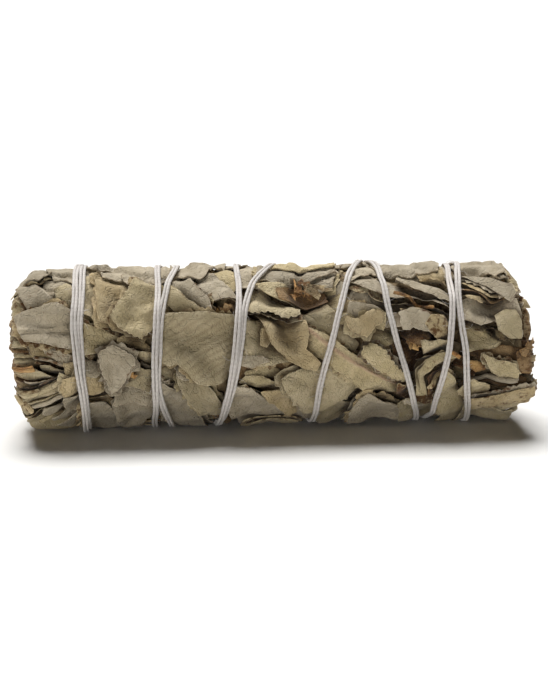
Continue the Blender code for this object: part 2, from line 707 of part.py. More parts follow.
def lay_thread(x, degrees, ground):
    """Radius under the thread at each step: every facet of its underside is a gap above the map."""
    below = ground.widened(1)
    share = np.linspace(0.0, 1.0, 9)
    along = share[:, None, None, None]
    squares = (share ** 2 + (1.0 - share) ** 2)[:, None]
    radius = np.full(len(x), BODY_RADIUS)
    for _ in range(6):
        under = thread_rings(x, degrees, radius)[:, :4]
        across = np.concatenate([under, 0.5 * (under[:, :-1] + under[:, 1:])], axis=1)
        samples = (1.0 - along) * across[None, :-1] + along * across[None, 1:]
        rows, columns, reached = ground.cells(samples)
        short = np.clip(below[rows, columns] + GAP - reached, 0.0, None).max(axis=2) / squares
        lift = np.zeros(len(x))
        lift[:-1] = (short * (1.0 - share[:, None])).max(axis=0)
        lift[1:] = np.maximum(lift[1:], (short * share[:, None]).max(axis=0))
        radius = radius + lift
    padded = np.pad(radius, 1, mode="edge")
    return np.maximum(radius, 0.5 * radius + 0.25 * (padded[:-2] + padded[2:]))


def build_knot(ground, pieces):
    """The knot on the back that holds the thread."""
    center = on_cylinder(KNOT_AT[0], KNOT_AT[1], ground.radius_at(KNOT_AT) + KNOT_LIFT)
    bpy.ops.mesh.primitive_ico_sphere_add(subdivisions=2, radius=KNOT_RADIUS, location=center)
    move_to(bpy.context.active_object, pieces)


def build_thread(ground, collection):
    """The doubled thread: out to the right, back over itself, and knotted on the back."""
    places, return_start = thread_route()
    x, degrees = route_points(places)
    turning = int(np.searchsorted(-degrees, places[return_start][1] - 90.0))
    out_radius = lay_thread(x[:turning + 1], degrees[:turning + 1], ground)
    out_rings = thread_rings(x[:turning], degrees[:turning], out_radius[:turning])
    first = loft("thread_out", out_rings, collection)
    ground.lay(first)
    bpy.data.objects.remove(first)
    back_radius = lay_thread(x, degrees, ground)
    radius = np.concatenate([out_radius[:turning], back_radius[turning:]])
    thread = loft("cotton_thread", thread_rings(x, degrees, radius), collection)
    thread.data.materials.append(make_material("cotton_thread", THREAD_COLOR))
    pieces = new_pieces("cotton_thread")
    build_knot(ground, pieces)
    join_pieces(thread, pieces)
    return thread


def main():
    """Build the stick from the inside out."""
    clear_objects()
    collection = bpy.data.collections.new("sage_smudge_stick")
    bpy.context.scene.collection.children.link(collection)
    rng = random.Random(RANDOM_SEED)
    ground = RadiusMap()
    sprigs = [build_center_sprig(collection, rng)]
    sprigs += [build_outer_sprig(number, collection, rng) for number in range(1, SPRIGS_ROUND + 1)]
    for sprig in sprigs:
        ground.lay(sprig)
    for number, leaf in enumerate(all_leaves(rng), start=1):
        color = LEAF_COLORS[number % len(LEAF_COLORS)]
        build_leaf(f"wrap_leaf_{number:02d}", leaf, ground, collection, color)
    build_thread(ground, collection)


main()
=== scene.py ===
"""Looks of the sage smudge stick: dried sage leaves, their folded ends, and the doubled cotton thread.

The stick lies along X and its front faces -Y. Inside this file lengths are millimetres on the unrolled stick:
x runs along it and y runs round it, upwards from the front, on a cylinder of LEAF_RADIUS.
"""

import logging
import math
from dataclasses import dataclass, field, replace
from enum import Enum
from typing import ClassVar

import bpy
import numpy as np
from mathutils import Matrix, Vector
from mathutils.geometry import delaunay_2d_cdt


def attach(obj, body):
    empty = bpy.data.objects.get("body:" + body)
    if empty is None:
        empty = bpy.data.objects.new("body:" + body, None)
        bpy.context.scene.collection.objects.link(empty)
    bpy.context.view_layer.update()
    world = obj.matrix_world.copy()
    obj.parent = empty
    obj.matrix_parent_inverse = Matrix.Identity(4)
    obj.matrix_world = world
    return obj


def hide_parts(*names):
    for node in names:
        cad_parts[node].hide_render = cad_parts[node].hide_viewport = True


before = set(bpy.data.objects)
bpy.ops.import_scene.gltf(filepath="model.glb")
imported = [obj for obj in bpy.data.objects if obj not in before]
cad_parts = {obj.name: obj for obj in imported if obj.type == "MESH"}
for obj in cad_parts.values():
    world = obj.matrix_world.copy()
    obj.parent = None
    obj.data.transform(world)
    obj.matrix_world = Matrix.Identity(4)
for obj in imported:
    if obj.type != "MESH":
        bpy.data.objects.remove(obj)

LOG = logging.getLogger("sage_stick")
MM = 0.001
AXIS_HEIGHT = 16.3
LEAF_RADIUS = 15.3
BASE_RADIUS = 12.3
OUTSIDE_RADIUS = 15.05
RISE_SHARE = 1.3
CROWN_SHARE = 0.4
TILT = 0.9
CRUMPLE_SHARE = 2.1
TOP_FROM = 15.5
TOP_CAP = 0.35
KNEE_RADIUS = 15.7
LIMIT_RADIUS = 16.6
SHOULDER_X = 43.0
TIP_X = 51.5
TIP_SHRINK = 0.29
SHOULDER_POWER = 2.6
BLADE = 0.25
ROLL_THICKNESS = 0.2
CLEARANCE = 0.05
FRONT_MESH = 0.36
BACK_MESH = 0.52
HIDDEN_MESH = 0.8
ROW_SHARE = 0.866
TOOTH_PITCH = 1.15
RIB_WIDTH = 0.42
VEIN_PITCH = 1.15
FULL_LAP = 0.5
SEED_STRIDE = 9.7
TINT_STRIDE = 12.9898
HASH_FACTORS = (374761393, 668265263, 1442695041)
HASH_MIX = 1274126177
HASH_HALF = 32767.5
ROUND = 2.0 * math.pi * LEAF_RADIUS


class View:
    """The photograph's view of the stick, in its 548 x 699 pixels."""

    CENTER_PX = (272.0, 343.0)
    FRAME_PX = (548.0, 699.0)
    FOCAL_PX = 1316.0
    SENSOR_MM = 36.0
    DISTANCE = 262.0
    YAW = math.radians(5.0)
    ELEVATION = math.radians(12.0)

    @classmethod
    def axes(cls) -> tuple[np.ndarray, np.ndarray, np.ndarray]:
        """Directions of the camera.

        Returns:
            Forward, right and up.
        """
        forward = np.array([
            math.sin(cls.YAW) * math.cos(cls.ELEVATION),
            math.cos(cls.YAW) * math.cos(cls.ELEVATION),
            -math.sin(cls.ELEVATION),
        ])
        right = np.array([math.cos(cls.YAW), -math.sin(cls.YAW), 0.0])
        return forward, right, np.cross(right, forward)

    @classmethod
    def seen(cls, px: float, py: float) -> tuple[float, float]:
        """Place on the unrolled stick of a pixel of the photograph.

        Args:
            px: Pixel column.
            py: Pixel row.

        Returns:
            x and y on the unrolled stick.
        """
        forward, right, up = cls.axes()
        eye = -forward * cls.DISTANCE
        ray = forward + right * (px - cls.CENTER_PX[0]) / cls.FOCAL_PX
        ray = ray + up * (cls.CENTER_PX[1] - py) / cls.FOCAL_PX
        a = ray[1] ** 2 + ray[2] ** 2
        b = eye[1] * ray[1] + eye[2] * ray[2]
        c = eye[1] ** 2 + eye[2] ** 2 - LEAF_RADIUS ** 2
        hit = eye + ray * ((-b - math.sqrt(max(b * b - a * c, 0.0))) / a)
        return hit[0], math.atan2(hit[2], -hit[1]) * LEAF_RADIUS


def places(text: str) -> np.ndarray:
    """Places on the unrolled stick from words.

    Args:
        text: Words such as 163,315 for a pixel of the photograph, or @-20,84 for 20 mm left of the middle
            and 84 degrees up from the front.

    Returns:
        One row of x and y for each word.
    """
    found = []
    for word in text.split():
        if word.startswith("@"):
            x, degrees = word[1:].split(",")
            found.append((float(x), math.radians(float(degrees)) * LEAF_RADIUS))
        else:
            found.append(View.seen(*map(float, word.split(","))))
    return np.array(found)


def cell_values(cell: np.ndarray) -> np.ndarray:
    """A random value from -1 to 1 for each row of two or three whole numbers."""
    mixed = cell @ np.array(HASH_FACTORS[:cell.shape[1]], dtype=np.int64)
    mixed = (mixed ^ (mixed >> 13)) * HASH_MIX
    return ((mixed ^ (mixed >> 16)) & 0xFFFF) / HASH_HALF - 1.0


def noise(points: np.ndarray, scale: float, seed: float) -> np.ndarray:
    """Smooth random values from -1 to 1.

    Args:
        points: Rows of x and y.
        scale: Distance between random values.
        seed: Picks another pattern.

    Returns:
        One value for each point.
    """
    spots = np.column_stack([points / scale + seed * 7.31, np.full(len(points), seed)])
    cell = np.floor(spots).astype(np.int64)
    near = spots - cell
    near = near * near * (3.0 - 2.0 * near)
    total = np.zeros(len(points))
    for corner in np.ndindex(2, 2, 2):
        weight = np.prod(np.where(np.array(corner) == 1, near, 1.0 - near), axis=1)
        total += weight * cell_values(cell + corner)
    return total


def facets(points: np.ndarray, scale: float, seed: float) -> np.ndarray:
    """Random values from -1 to 1 that meet in flat triangles with sharp edges, like crushed paper.

    Args:
        points: Rows of x and y.
        scale: Size of the triangles.
        seed: Picks another pattern and direction.

    Returns:
        One value for each point.
    """
    turn = 2.4 * seed
    across = np.array([[math.cos(turn), -math.sin(turn)], [math.sin(turn), math.cos(turn)]])
    warp = np.column_stack([noise(points, 1.7 * scale, seed + 0.3), noise(points, 1.7 * scale, seed + 0.6)])
    spots = points @ across / scale + 0.38 * warp + 11.3 * seed
    cell = np.floor(spots).astype(np.int64)
    near = spots - cell
    low, high, right, left = (cell_values(cell + step) for step in ([0, 0], [1, 1], [1, 0], [0, 1]))
    first = low + (right - low) * near[:, 0] + (high - right) * near[:, 1]
    second = low + (left - low) * near[:, 1] + (high - left) * near[:, 0]
    return np.where(near[:, 0] > near[:, 1], first, second)


def creases(points: np.ndarray, seed: float) -> np.ndarray:
    """Height of a crumpled leaf over its middle surface, in flat facets with sharp edges, about -1 to 1."""
    crushed = 0.75 * facets(points, 5.2, seed) + 0.42 * facets(points, 2.6, seed + 0.7)
    return crushed + 0.16 * noise(points, 1.1, seed)


def shoulder(x: np.ndarray) -> np.ndarray:
    """Share of the full radius at a distance along the stick."""
    past = np.clip((np.abs(x) - SHOULDER_X) / (TIP_X - SHOULDER_X), 0.0, 1.0)
    return 1.0 - TIP_SHRINK * past ** SHOULDER_POWER


def pressed(radius: np.ndarray) -> np.ndarray:
    """Distances from the axis with the highest bumps pressed down."""
    room = LIMIT_RADIUS - KNEE_RADIUS
    past = np.maximum(radius - KNEE_RADIUS, 0.0)
    return np.where(radius > KNEE_RADIUS, KNEE_RADIUS + room * (1.0 - np.exp(-past / room)), radius)


def rolled(x: np.ndarray, y: np.ndarray, radius: np.ndarray) -> np.ndarray:
    """Points in space, in metres, for places on the unrolled stick and their distance from its axis."""
    angle = y / LEAF_RADIUS
    height = np.maximum(AXIS_HEIGHT + radius * np.sin(angle), 0.0)
    return np.column_stack([x, -radius * np.cos(angle), height]) * MM


def triangle_shares(steps: int) -> np.ndarray:
    """Shares of the three corners for an even spread of points in a triangle."""
    shares = [(i, j, steps - i - j) for i in range(steps + 1) for j in range(steps + 1 - i)]
    return np.array(shares) / steps


def distance_to_line(points: np.ndarray, line: np.ndarray) -> tuple[np.ndarray, np.ndarray]:
    """Distance of points from a bent line, and on which side of it they are.

    Args:
        points: Rows of x and y.
        line: Rows of x and y along the line.

    Returns:
        The distances, and the same distances with a sign that is positive left of the line.
    """
    best = np.full(len(points), 1e9)
    side = np.zeros(len(points))
    for start, end in zip(line[:-1], line[1:]):
        way = end - start
        share = np.clip(((points - start) @ way) / max(way @ way, 1e-9), 0.0, 1.0)
        gap = points - (start + share[:, None] * way)
        away = np.hypot(gap[:, 0], gap[:, 1])
        cross = way[0] * (points[:, 1] - start[1]) - way[1] * (points[:, 0] - start[0])
        nearer = away < best
        best = np.where(nearer, away, best)
        side = np.where(nearer, np.sign(cross), side)
    return best, best * side


class StickMap:
    """Distance from the axis to the outside of all that has been laid, over the unrolled stick."""

    ROWS = 480
    CELL = 0.2
    HALF_LENGTH = 54.0
    COLUMNS = int(2.0 * HALF_LENGTH / CELL)
    EASE = 13.0
    PACKED_END = 51.0
    SHALLOW = 0.55
    DEEP = 2.2
    LAID_SHARE = 0.8
    LEAST_SHARE = 0.05
    FADE_FROM = 50.5
    FADE_OVER = 4.0

    def __init__(self) -> None:
        """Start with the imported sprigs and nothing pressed."""
        x, _ = self.grid_places()
        self.grid = np.where(np.abs(x) < self.PACKED_END, BASE_RADIUS * shoulder(x), 0.0)
        self.sunk = np.zeros((self.ROWS, self.COLUMNS))
        self.around = np.zeros((self.ROWS, self.COLUMNS))

    def cells(self, x: np.ndarray, y: np.ndarray) -> tuple[np.ndarray, np.ndarray]:
        """Row and column, with fractions, of places."""
        rows = (y / ROUND * self.ROWS) % self.ROWS
        columns = np.clip((x + self.HALF_LENGTH) / self.CELL, 0.0, self.COLUMNS - 1.01)
        return rows, columns

    def grid_places(self) -> tuple[np.ndarray, np.ndarray]:
        """x and y of every cell."""
        rows, columns = np.mgrid[0:self.ROWS, 0:self.COLUMNS]
        return columns * self.CELL - self.HALF_LENGTH, rows * ROUND / self.ROWS

    def read(self, grid: np.ndarray, x: np.ndarray, y: np.ndarray) -> np.ndarray:
        """Values of a grid at places, read between its cells.

        Args:
            grid: Values over the unrolled stick.
            x: Place of each point along the stick.
            y: Place of each point round the stick.

        Returns:
            One value for each point.
        """
        rows, columns = self.cells(x, y)
        row = np.floor(rows).astype(int)
        column = np.floor(columns).astype(int)
        down = rows - row
        along = columns - column
        below = (row + 1) % self.ROWS
        row = row % self.ROWS
        first = grid[row, column] * (1.0 - along) + grid[row, column + 1] * along
        second = grid[below, column] * (1.0 - along) + grid[below, column + 1] * along
        return first * (1.0 - down) + second * down

    def spread(self, reach: int) -> np.ndarray:
        """The map with each cell raised to the highest near it.

        Args:
            reach: How many cells away still counts.

        Returns:
            The raised grid.
        """
        grid = self.grid
        for axis in (0, 1):
            grid = np.max([np.roll(grid, step, axis=axis) for step in range(-reach, reach + 1)], axis=0)
        return grid

    @staticmethod
    def smooth(grid: np.ndarray, sigma: float) -> np.ndarray:
        """A blurred grid.

        Args:
            grid: Values over the unrolled stick.
            sigma: Width of the blur in cells.

        Returns:
            The blurred grid.
        """
        reach = int(2.5 * sigma)
        steps = range(-reach, reach + 1)
        weights = np.exp(-0.5 * (np.array(steps) / sigma) ** 2)
        weights /= weights.sum()
        for axis in (0, 1):
            grid = sum(weight * np.roll(grid, step, axis=axis) for step, weight in zip(steps, weights))
        return grid

    def press(self) -> None:
        """Work out how far the winding presses all layers in, so that the outside is an even round."""
        x, _ = self.grid_places()
        laid = (self.grid > self.LAID_SHARE * BASE_RADIUS * shoulder(x)).astype(float)
        share = np.maximum(self.smooth(laid, self.EASE), self.LEAST_SHARE)
        height = self.smooth((self.grid - OUTSIDE_RADIUS * shoulder(x)) * laid, self.EASE) / share
        fade = np.clip((self.FADE_FROM - np.abs(x)) / self.FADE_OVER, 0.0, 1.0)
        self.around = self.smooth(self.spread(2), 3.0)
        self.sunk = height * fade
        self.grid = pressed(self.grid - self.sunk)

    def deepness(self, points: np.ndarray) -> np.ndarray:
        """How deep each row of x, y and radius lies below the unpressed outside nearby, from 0 to 1, which
        sets the painted shade in crevices.
        """
        below = self.read(self.around, points[:, 0], points[:, 1]) - points[:, 2]
        return np.clip((below - self.SHALLOW) / (self.DEEP - self.SHALLOW), 0.0, 1.0)

    def place(self, points: np.ndarray) -> np.ndarray:
        """Points in space, in metres, of rows of x, y and radius from before the pressing."""
        x, y, radius = points.T
        return rolled(x, y, pressed(radius - self.read(self.sunk, x, y)))

    def lay(self, x: np.ndarray, y: np.ndarray, radius: np.ndarray, triangles: np.ndarray) -> None:
        """Raise the map to the outside of a sheet.

        Args:
            x: Place of each point along the stick.
            y: Place of each point round the stick.
            radius: Distance of each point from the axis.
            triangles: The sheet's triangles.
        """
        corners = np.stack([x, y, radius], axis=-1)[triangles]
        points = np.einsum("sc,tcd->tsd", triangle_shares(3), corners).reshape(-1, 3)
        self.raise_to(points)

    def raise_to(self, points: np.ndarray) -> None:
        """Raise the map to rows of x, y and radius."""
        rows, columns = self.cells(points[:, 0], points[:, 1])
        rows = np.round(rows).astype(int) % self.ROWS
        np.maximum.at(self.grid, (rows, np.round(columns).astype(int)), points[:, 2])


class Tone(Enum):
    """Kinds of dried leaf, by colour."""

    PALE = "pale"
    TAN = "tan"
    OLIVE = "olive"
    GREY = "grey"
    BROWN = "brown"
    RUST = "rust"
    SPRIG = "sprig"


@dataclass(frozen=True)
class Fold:
    """A bend in a leaf along a line: a ridge, or a step where the leaf goes on higher left of the line."""

    line: str
    height: float = 0.4
    width: float = 0.6
    step: bool = False


@dataclass(frozen=True)
class Leaf:
    """One leaf or piece of leaf on the outside of the stick.

    The outline is in the words of places. Node is the number of the wrap leaf that it stands for, or 0.
    """

    outline: str
    tone: Tone
    node: int = 0
    rise: float = 0.15
    crown: float = 0.2
    curl: float = 0.25
    crumple: float = 0.36
    teeth: float = 0.0
    torn: float = 0.13
    lap: float = 0.22
    rib: str = ""
    veins: float = 0.0
    folds: tuple[Fold, ...] = ()
    dry: float = 0.0


@dataclass(frozen=True)
class Roll:
    """A leaf rolled up lengthwise, open at its ends, that lies along a line in the words of places."""

    line: str
    tone: Tone
    size: float = 0.85
    turns: float = 1.3
    height: float = 0.75
    rise: float = 0.0
    ragged: float = 0.5
    dry: float = 0.15
    node: int = 0


@dataclass(frozen=True)
class Crumbs:
    """Small crushed bits of leaf round a place, in the words of places."""

    place: str
    tone: Tone
    count: int = 6
    spread: tuple[float, float] = (1.6, 1.0)
    size: float = 0.8
    rise: float = 0.35


P, T, O, G, B, R = Tone.PALE, Tone.TAN, Tone.OLIVE, Tone.GREY, Tone.BROWN, Tone.RUST

LEFT_END = [
    Leaf("10,296 20,290 26,330 24,345 10,344", G, rise=0.05, torn=0.3, dry=0.4),
    Leaf("12,286 22,284 30,320 20,340 13,338", O, rise=0.25, torn=0.3, dry=0.3),
    Leaf("14,340 34,341 50,346 50,360 34,366 14,368", G, rise=0.0, dry=0.3),
    Roll("11,345 30,345 44,350", G, 0.75, rise=-0.5, dry=0.2),
    Roll("12,352 34,353", B, 0.6, rise=-0.3, dry=0.5),
    Roll("14,357 34,357 50,362", O, 0.7, rise=-0.4, dry=0.3),
    Roll("13,364 32,363 50,368", G, 0.65, rise=-0.4, dry=0.2),
    Roll("12,382 26,380 40,376", T, 0.8, rise=-0.4, dry=0.5),
    Roll("14,390 34,392 48,384", B, 0.7, rise=-0.5, dry=0.6),
    Leaf("28,341 50,345 80,350 82,368 64,366 45,358 33,356", T, 13, rise=0.1, torn=0.1),
    Leaf("44,346 60,352 78,360 70,368 60,362 46,354", P, rise=0.35, torn=0.12, dry=0.3),
    Roll("34,358 50,361 64,367 72,371", P, 0.45, dry=0.5),
    Roll("36,363 50,368 66,374", T, 0.4, dry=0.8),
    Leaf("40,366 50,367 64,373 64,380 52,382 44,376", G, rise=0.25, torn=0.15),
    Leaf("20,379 36,369 44,374 54,380 40,383 26,382", G, rise=0.3, torn=0.1,
         folds=(Fold("36,370 34,382", 0.4, 0.4),)),
    Leaf("24,381 40,383 48,382 40,392 32,390", P, rise=0.35, torn=0.25),
    Roll("12,376 22,373 34,368", R, 0.75, turns=1.1, ragged=0.3, dry=0.0),
    Leaf("22,398 42,388 70,377 70,392 44,402 24,408", O, 15, rise=0.0, crown=0.3, torn=0.1),
    Roll("18,400 36,393 54,386 72,378", G, 0.8, dry=0.1),
    Roll("26,405 44,397 60,390 72,384", G, 0.9, turns=1.15, dry=0.2),
    Roll("16,396 26,391 40,388", O, 0.6, dry=0.5),
    Leaf("30,404 50,397 66,391 66,402 48,406 34,411", O, rise=0.1, crown=0.4, torn=0.12),
    Roll("34,409 50,402 66,396", P, 0.6, dry=0.1),
    Roll("18,404 24,408 32,410", T, 0.85, turns=1.6, dry=0.4),
    Roll("20,412 28,413 38,414", G, 0.8, turns=1.6, dry=0.3),
    Roll("24,420 34,421 46,421", G, 0.85, turns=1.6, dry=0.2),
    Roll("28,426 42,426 60,425 84,423", T, 0.8, dry=0.3),
    Roll("34,430 56,429 84,427", B, 0.8, dry=0.2),
    Leaf("28,416 52,412 86,413 86,428 @-32,-83 @-38,-82 @-44,-84 30,425", O, 17, rise=0.1, torn=0.1,
         folds=(Fold("30,420 86,420", 0.5, 0.5),)),
    Roll("40,422 60,419 86,417", O, 0.7, dry=0.2),
    Leaf("45,407 54,405 66,406 60,412 50,414 44,411", P, rise=0.4, torn=0.15),
    Leaf("52,419 64,411 82,405 84,411 68,417 56,421", P, rise=0.45, torn=0.06,
         folds=(Fold("54,420 82,407", 0.4, 0.3),)),
    Leaf("58,421 74,414 90,410 90,418 70,423", P, rise=0.4, torn=0.06),
    Leaf("64,363 76,362 86,371 82,381 67,378", T, rise=0.25, torn=0.2),
    Leaf("64,378 80,377 104,382 106,394 84,393 66,396 62,388", T, 16, rise=0.4, torn=0.22),
    Leaf("64,396 84,395 108,403 112,413 86,412 67,407 64,402", P, rise=0.4, torn=0.16),
    Leaf("38,284 46,278 60,279 78,281 80,306 68,309 60,303 47,295", P, 11, rise=0.25, torn=0.12,
         folds=(Fold("47,286 55,287", -0.7, 0.25),)),
    Leaf("55,289 66,286 80,288 80,306 72,307 60,302 56,295", G, rise=0.3, crumple=0.6, torn=0.3),
    Leaf("16,283 32,283 44,294 60,308 68,314 52,309 37,311 29,306 19,293", P, 12, rise=0.45, crown=0.3,
         torn=0.06, folds=(Fold("32,285 64,312", 0.5, 0.3),)),
    Leaf("14,316 32,311 48,307 57,306 70,313 82,317 82,349 70,348 45,343 24,341 18,333", P, 14, rise=0.5,
         crown=0.1, crumple=0.2, torn=0.08,
         folds=(Fold("16,330 50,328 82,324", 0.6, 0.5), Fold("17,334 50,332 82,330", -0.4, 0.4))),
    Leaf("15,275 20,278 32,282 40,279 47,277 60,273 82,270 @-33,105 @-36,125 @-41,125 @-48.3,120 @-49.0,98 "
         "@-49.0,78", P, 10, rise=0.35, crown=0.3, torn=0.1),
    Leaf("46,267 54,279 62,278 74,282 92,280 96,266 @-30,108 @-36,106", P, rise=0.2, crown=0.1, torn=0.2),
]
FIRST_BAY = [
    Leaf("86,350 100,352 118,362 120,392 104,394 86,392", O, rise=0.0),
    Leaf("86,376 104,378 113,392 100,396 86,392", T, rise=0.2),
    Leaf("102,360 112,366 120,378 112,384 100,376", G, rise=0.2),
    Leaf("84,360 96,364 104,371 96,376 84,372", P, rise=0.35, torn=0.12),
    Leaf("84,306 98,309 112,318 126,330 121,338 100,329 84,326", O, rise=0.3, crown=0.4, torn=0.05),
    Leaf("84,404 101,401 113,412 128,426 @-23,-82 @-27,-81 @-31,-83 84,427", P, 19, rise=0.25),
    Leaf("111,402 130,402 150,408 156,414 140,426 124,423 116,412", P, rise=0.4, torn=0.15),
    Leaf("117,388 132,386 152,398 156,408 134,404 114,402", P, rise=0.5),
    Leaf("84,324 102,328 121,338 119,350 104,351 84,353", O, 18, rise=0.3, crumple=0.5, torn=0.12),
    Leaf("119,338 129,334 152,351 135,352 118,350", T, rise=0.35, torn=0.1),
    Leaf("119,350 152,353 158,374 150,375 133,368 123,362", G, 20, rise=0.35, torn=0.1),
    Leaf("124,386 127,375 134,366 151,372 160,380 158,400 150,397 134,387", G, 21, rise=0.45, torn=0.2),
    Crumbs("131,372", R, 3, (0.5, 0.3), 0.6, 0.5),
    Leaf("100,353 112,347 122,351 134,356 135,363 126,374 118,387 112,392 108,384 104,374 101,362", P, 22,
         rise=0.65, crown=0.1, teeth=0.12),
    Leaf("84,274 96,274 98,292 99,310 102,321 92,317 84,313", G, rise=0.25, crumple=0.5, torn=0.15),
    Leaf("95,277 112,274 131,279 130,292 121,303 113,314 109,323 101,322 97,308 96,292", T, 23, rise=0.45,
         crown=0.35, torn=0.05),
    Leaf("84,270 110,268 140,271 164,274 @-21,114 @-34,114", P, rise=0.1, torn=0.1),
    Leaf("@-34,80 @-28,104 @-20,102 @-20,70 @-27,68 @-33,70", P, rise=0.3, crown=0.3, torn=0.2),
    Leaf("122,277 130,273 142,276 140,282 128,285", P, rise=0.6, curl=0.6),
    Leaf("134,283 146,282 160,283 174,285 170,300 160,318 152,326 141,338 133,335 128,332 120,328 113,321 "
         "111,316 118,306 126,296 131,289", O, 24, rise=0.6, crown=0.3, crumple=0.5, teeth=0.16, torn=0.12),
]
SECOND_BAY = [
    Leaf("160,356 170,364 180,374 176,386 168,388 158,382", G, 25, rise=0.25),
    Leaf("158,378 175,392 190,403 206,424 @-13,-82 @-17,-81 @-20,-83 158,404", P, 26, rise=0.3, torn=0.06),
    Leaf("206,380 226,380 240,394 236,412 222,414 212,398", T, rise=0.3),
    Leaf("214,384 224,382 226,412 218,412", T, rise=0.45, folds=(Fold("218,384 222,412", 0.4, 0.4),)),
    Leaf("177,375 195,383 212,391 218,398 224,415 203,413 190,403 182,390", G, 27, rise=0.5, torn=0.08),
    Leaf("174,364 186,362 194,372 190,380 180,376", P, rise=0.55, torn=0.2),
    Leaf("162,299 176,296 190,306 190,316 162,316", O, rise=0.3, crumple=0.55),
    Leaf("203,300 222,298 240,300 240,313 216,315 204,309", T, rise=0.3, torn=0.25),
    Crumbs("213,308", R, 5, (1.6, 0.7), 0.8, 0.3),
    Crumbs("228,309", B, 6, (1.6, 0.7), 0.9, 0.4),
    Leaf("190,283 203,272 215,266 240,266 @-5,95 @-5,122 @-13,124 @-16,110 @-14,90 240,301 205,302 198,293",
         P, 29, rise=0.35, crown=0.3, torn=0.06, folds=(Fold("219,278 234,286", -0.4, 0.35),)),
    Leaf("170,279 184,277 190,283 199,292 208,301 212,312 200,312 186,300 174,294", P, 28, rise=0.55,
         torn=0.08, folds=(Fold("176,284 208,308", 0.3, 0.4),)),
    Leaf("166,286 186,300 207,315 188,315 166,300", G, rise=0.45, torn=0.1),
    Leaf("172,268 @-18,90 @-18,104 @-9,104 @-10,88 213,268 205,276 193,281 182,278 174,276", P, rise=0.4,
         crown=0.3, torn=0.05),
    Leaf("163,315 208,315 235,317 266,321 262,345 252,364 236,378 226,380 209,383 198,381 190,374 178,362 "
         "170,364 160,360", G, 30, rise=0.75, crumple=0.12, torn=0.06, veins=28.0,
         folds=(Fold("163,317 208,317 262,323", 0.35, 0.35),)),
]
THIRD_BAY = [
    Leaf("238,360 262,361 290,364 292,394 262,392 238,386", B, 32, rise=0.05),
    Leaf("246,372 262,370 280,374 278,382 258,384", O, rise=0.25),
    Leaf("240,383 252,386 268,392 290,400 290,392 262,378 246,376", O, rise=0.3),
    Leaf("245,320 262,322 272,332 280,348 294,364 262,364 245,364", G, 36, rise=0.3, crown=0.3, torn=0.08),
    Leaf("242,357 262,356 268,361 252,365 242,364", P, rise=0.6, curl=0.6, torn=0.15),
    Leaf("261,330 269,329 271,336 266,345 261,344", T, rise=0.7, curl=0.9, torn=0.03),
    Leaf("232,384 250,387 262,398 272,408 300,414 312,417 @5,-83 @0,-80 @-6,-83 230,412", P, 31, rise=0.35,
         crown=0.3, folds=(Fold("246,416 256,412", -0.4, 0.3), Fold("262,412 268,416", -0.35, 0.3))),
    Leaf("262,390 280,391 302,402 306,409 288,414 270,400", T, rise=0.5, torn=0.12),
    Leaf("296,404 330,402 358,398 350,412 318,420 300,416", P, rise=0.3),
    Leaf("310,408 340,404 352,410 348,418 320,421", G, rise=0.45, torn=0.1),
    Leaf("281,378 300,372 335,366 352,380 368,391 348,398 325,406 306,409 296,400 288,390", G, 37, rise=0.5,
         crown=0.25, torn=0.07, folds=(Fold("282,379 312,392 330,380", 0.15, 0.5),)),
    Leaf("283,300 310,298 327,299 334,308 343,326 359,343 351,357 330,342 306,328 300,317 295,312 284,306",
         G, 35, rise=0.5, torn=0.08, folds=(Fold("309,308 325,334", -0.4, 0.25),)),
    Leaf("303,326 331,340 352,354 385,370 417,391 415,406 389,400 365,389 348,378 331,365 318,358 306,350 "
         "306,336", O, 38, rise=0.6, torn=0.1, rib="304,327 331,347 351,360 373,374 405,390 417,398"),
    Leaf("257,312 275,313 297,312 304,322 307,336 305,350 320,362 316,368 305,367 289,359 272,342 264,326",
         T, rise=0.7, crown=0.35, torn=0.05),
    Leaf("246,297 252,288 262,286 269,292 281,300 298,311 297,318 284,318 270,312 257,313 247,312", G, 33,
         rise=0.85, teeth=0.24, torn=0.04),
    Leaf("238,268 262,262 290,264 292,284 276,294 262,288 250,286 240,284", P, rise=0.4, crown=0.3,
         crumple=0.45),
    Leaf("@-3,88 @4,92 @13,90 332,284 305,287 286,284 262,280 @-3,75", P, 34, rise=0.3, crown=0.3,
         folds=(Fold("288,276 325,272 345,270", 0.4, 0.5),)),
    Leaf("255,286 276,283 300,287 302,296 284,300 268,294", O, rise=0.55, curl=0.5),
    Leaf("276,290 300,285 326,288 328,296 300,300 280,298", B, rise=0.2, crumple=0.6, torn=0.2),
    Crumbs("298,292", R, 11, (2.4, 0.9), 1.2, 0.9),
    Crumbs("317,293", T, 8, (1.8, 0.9), 1.2, 1.0),
    Leaf("286,284 290,275 325,268 @13,84 @13,100 @4,96 @3,84 346,272 318,275", P, rise=0.25, torn=0.05),
    Leaf("@0,112 @12,112 @12,84 @4,80 @0,84", O, rise=0.2, torn=0.15),
]
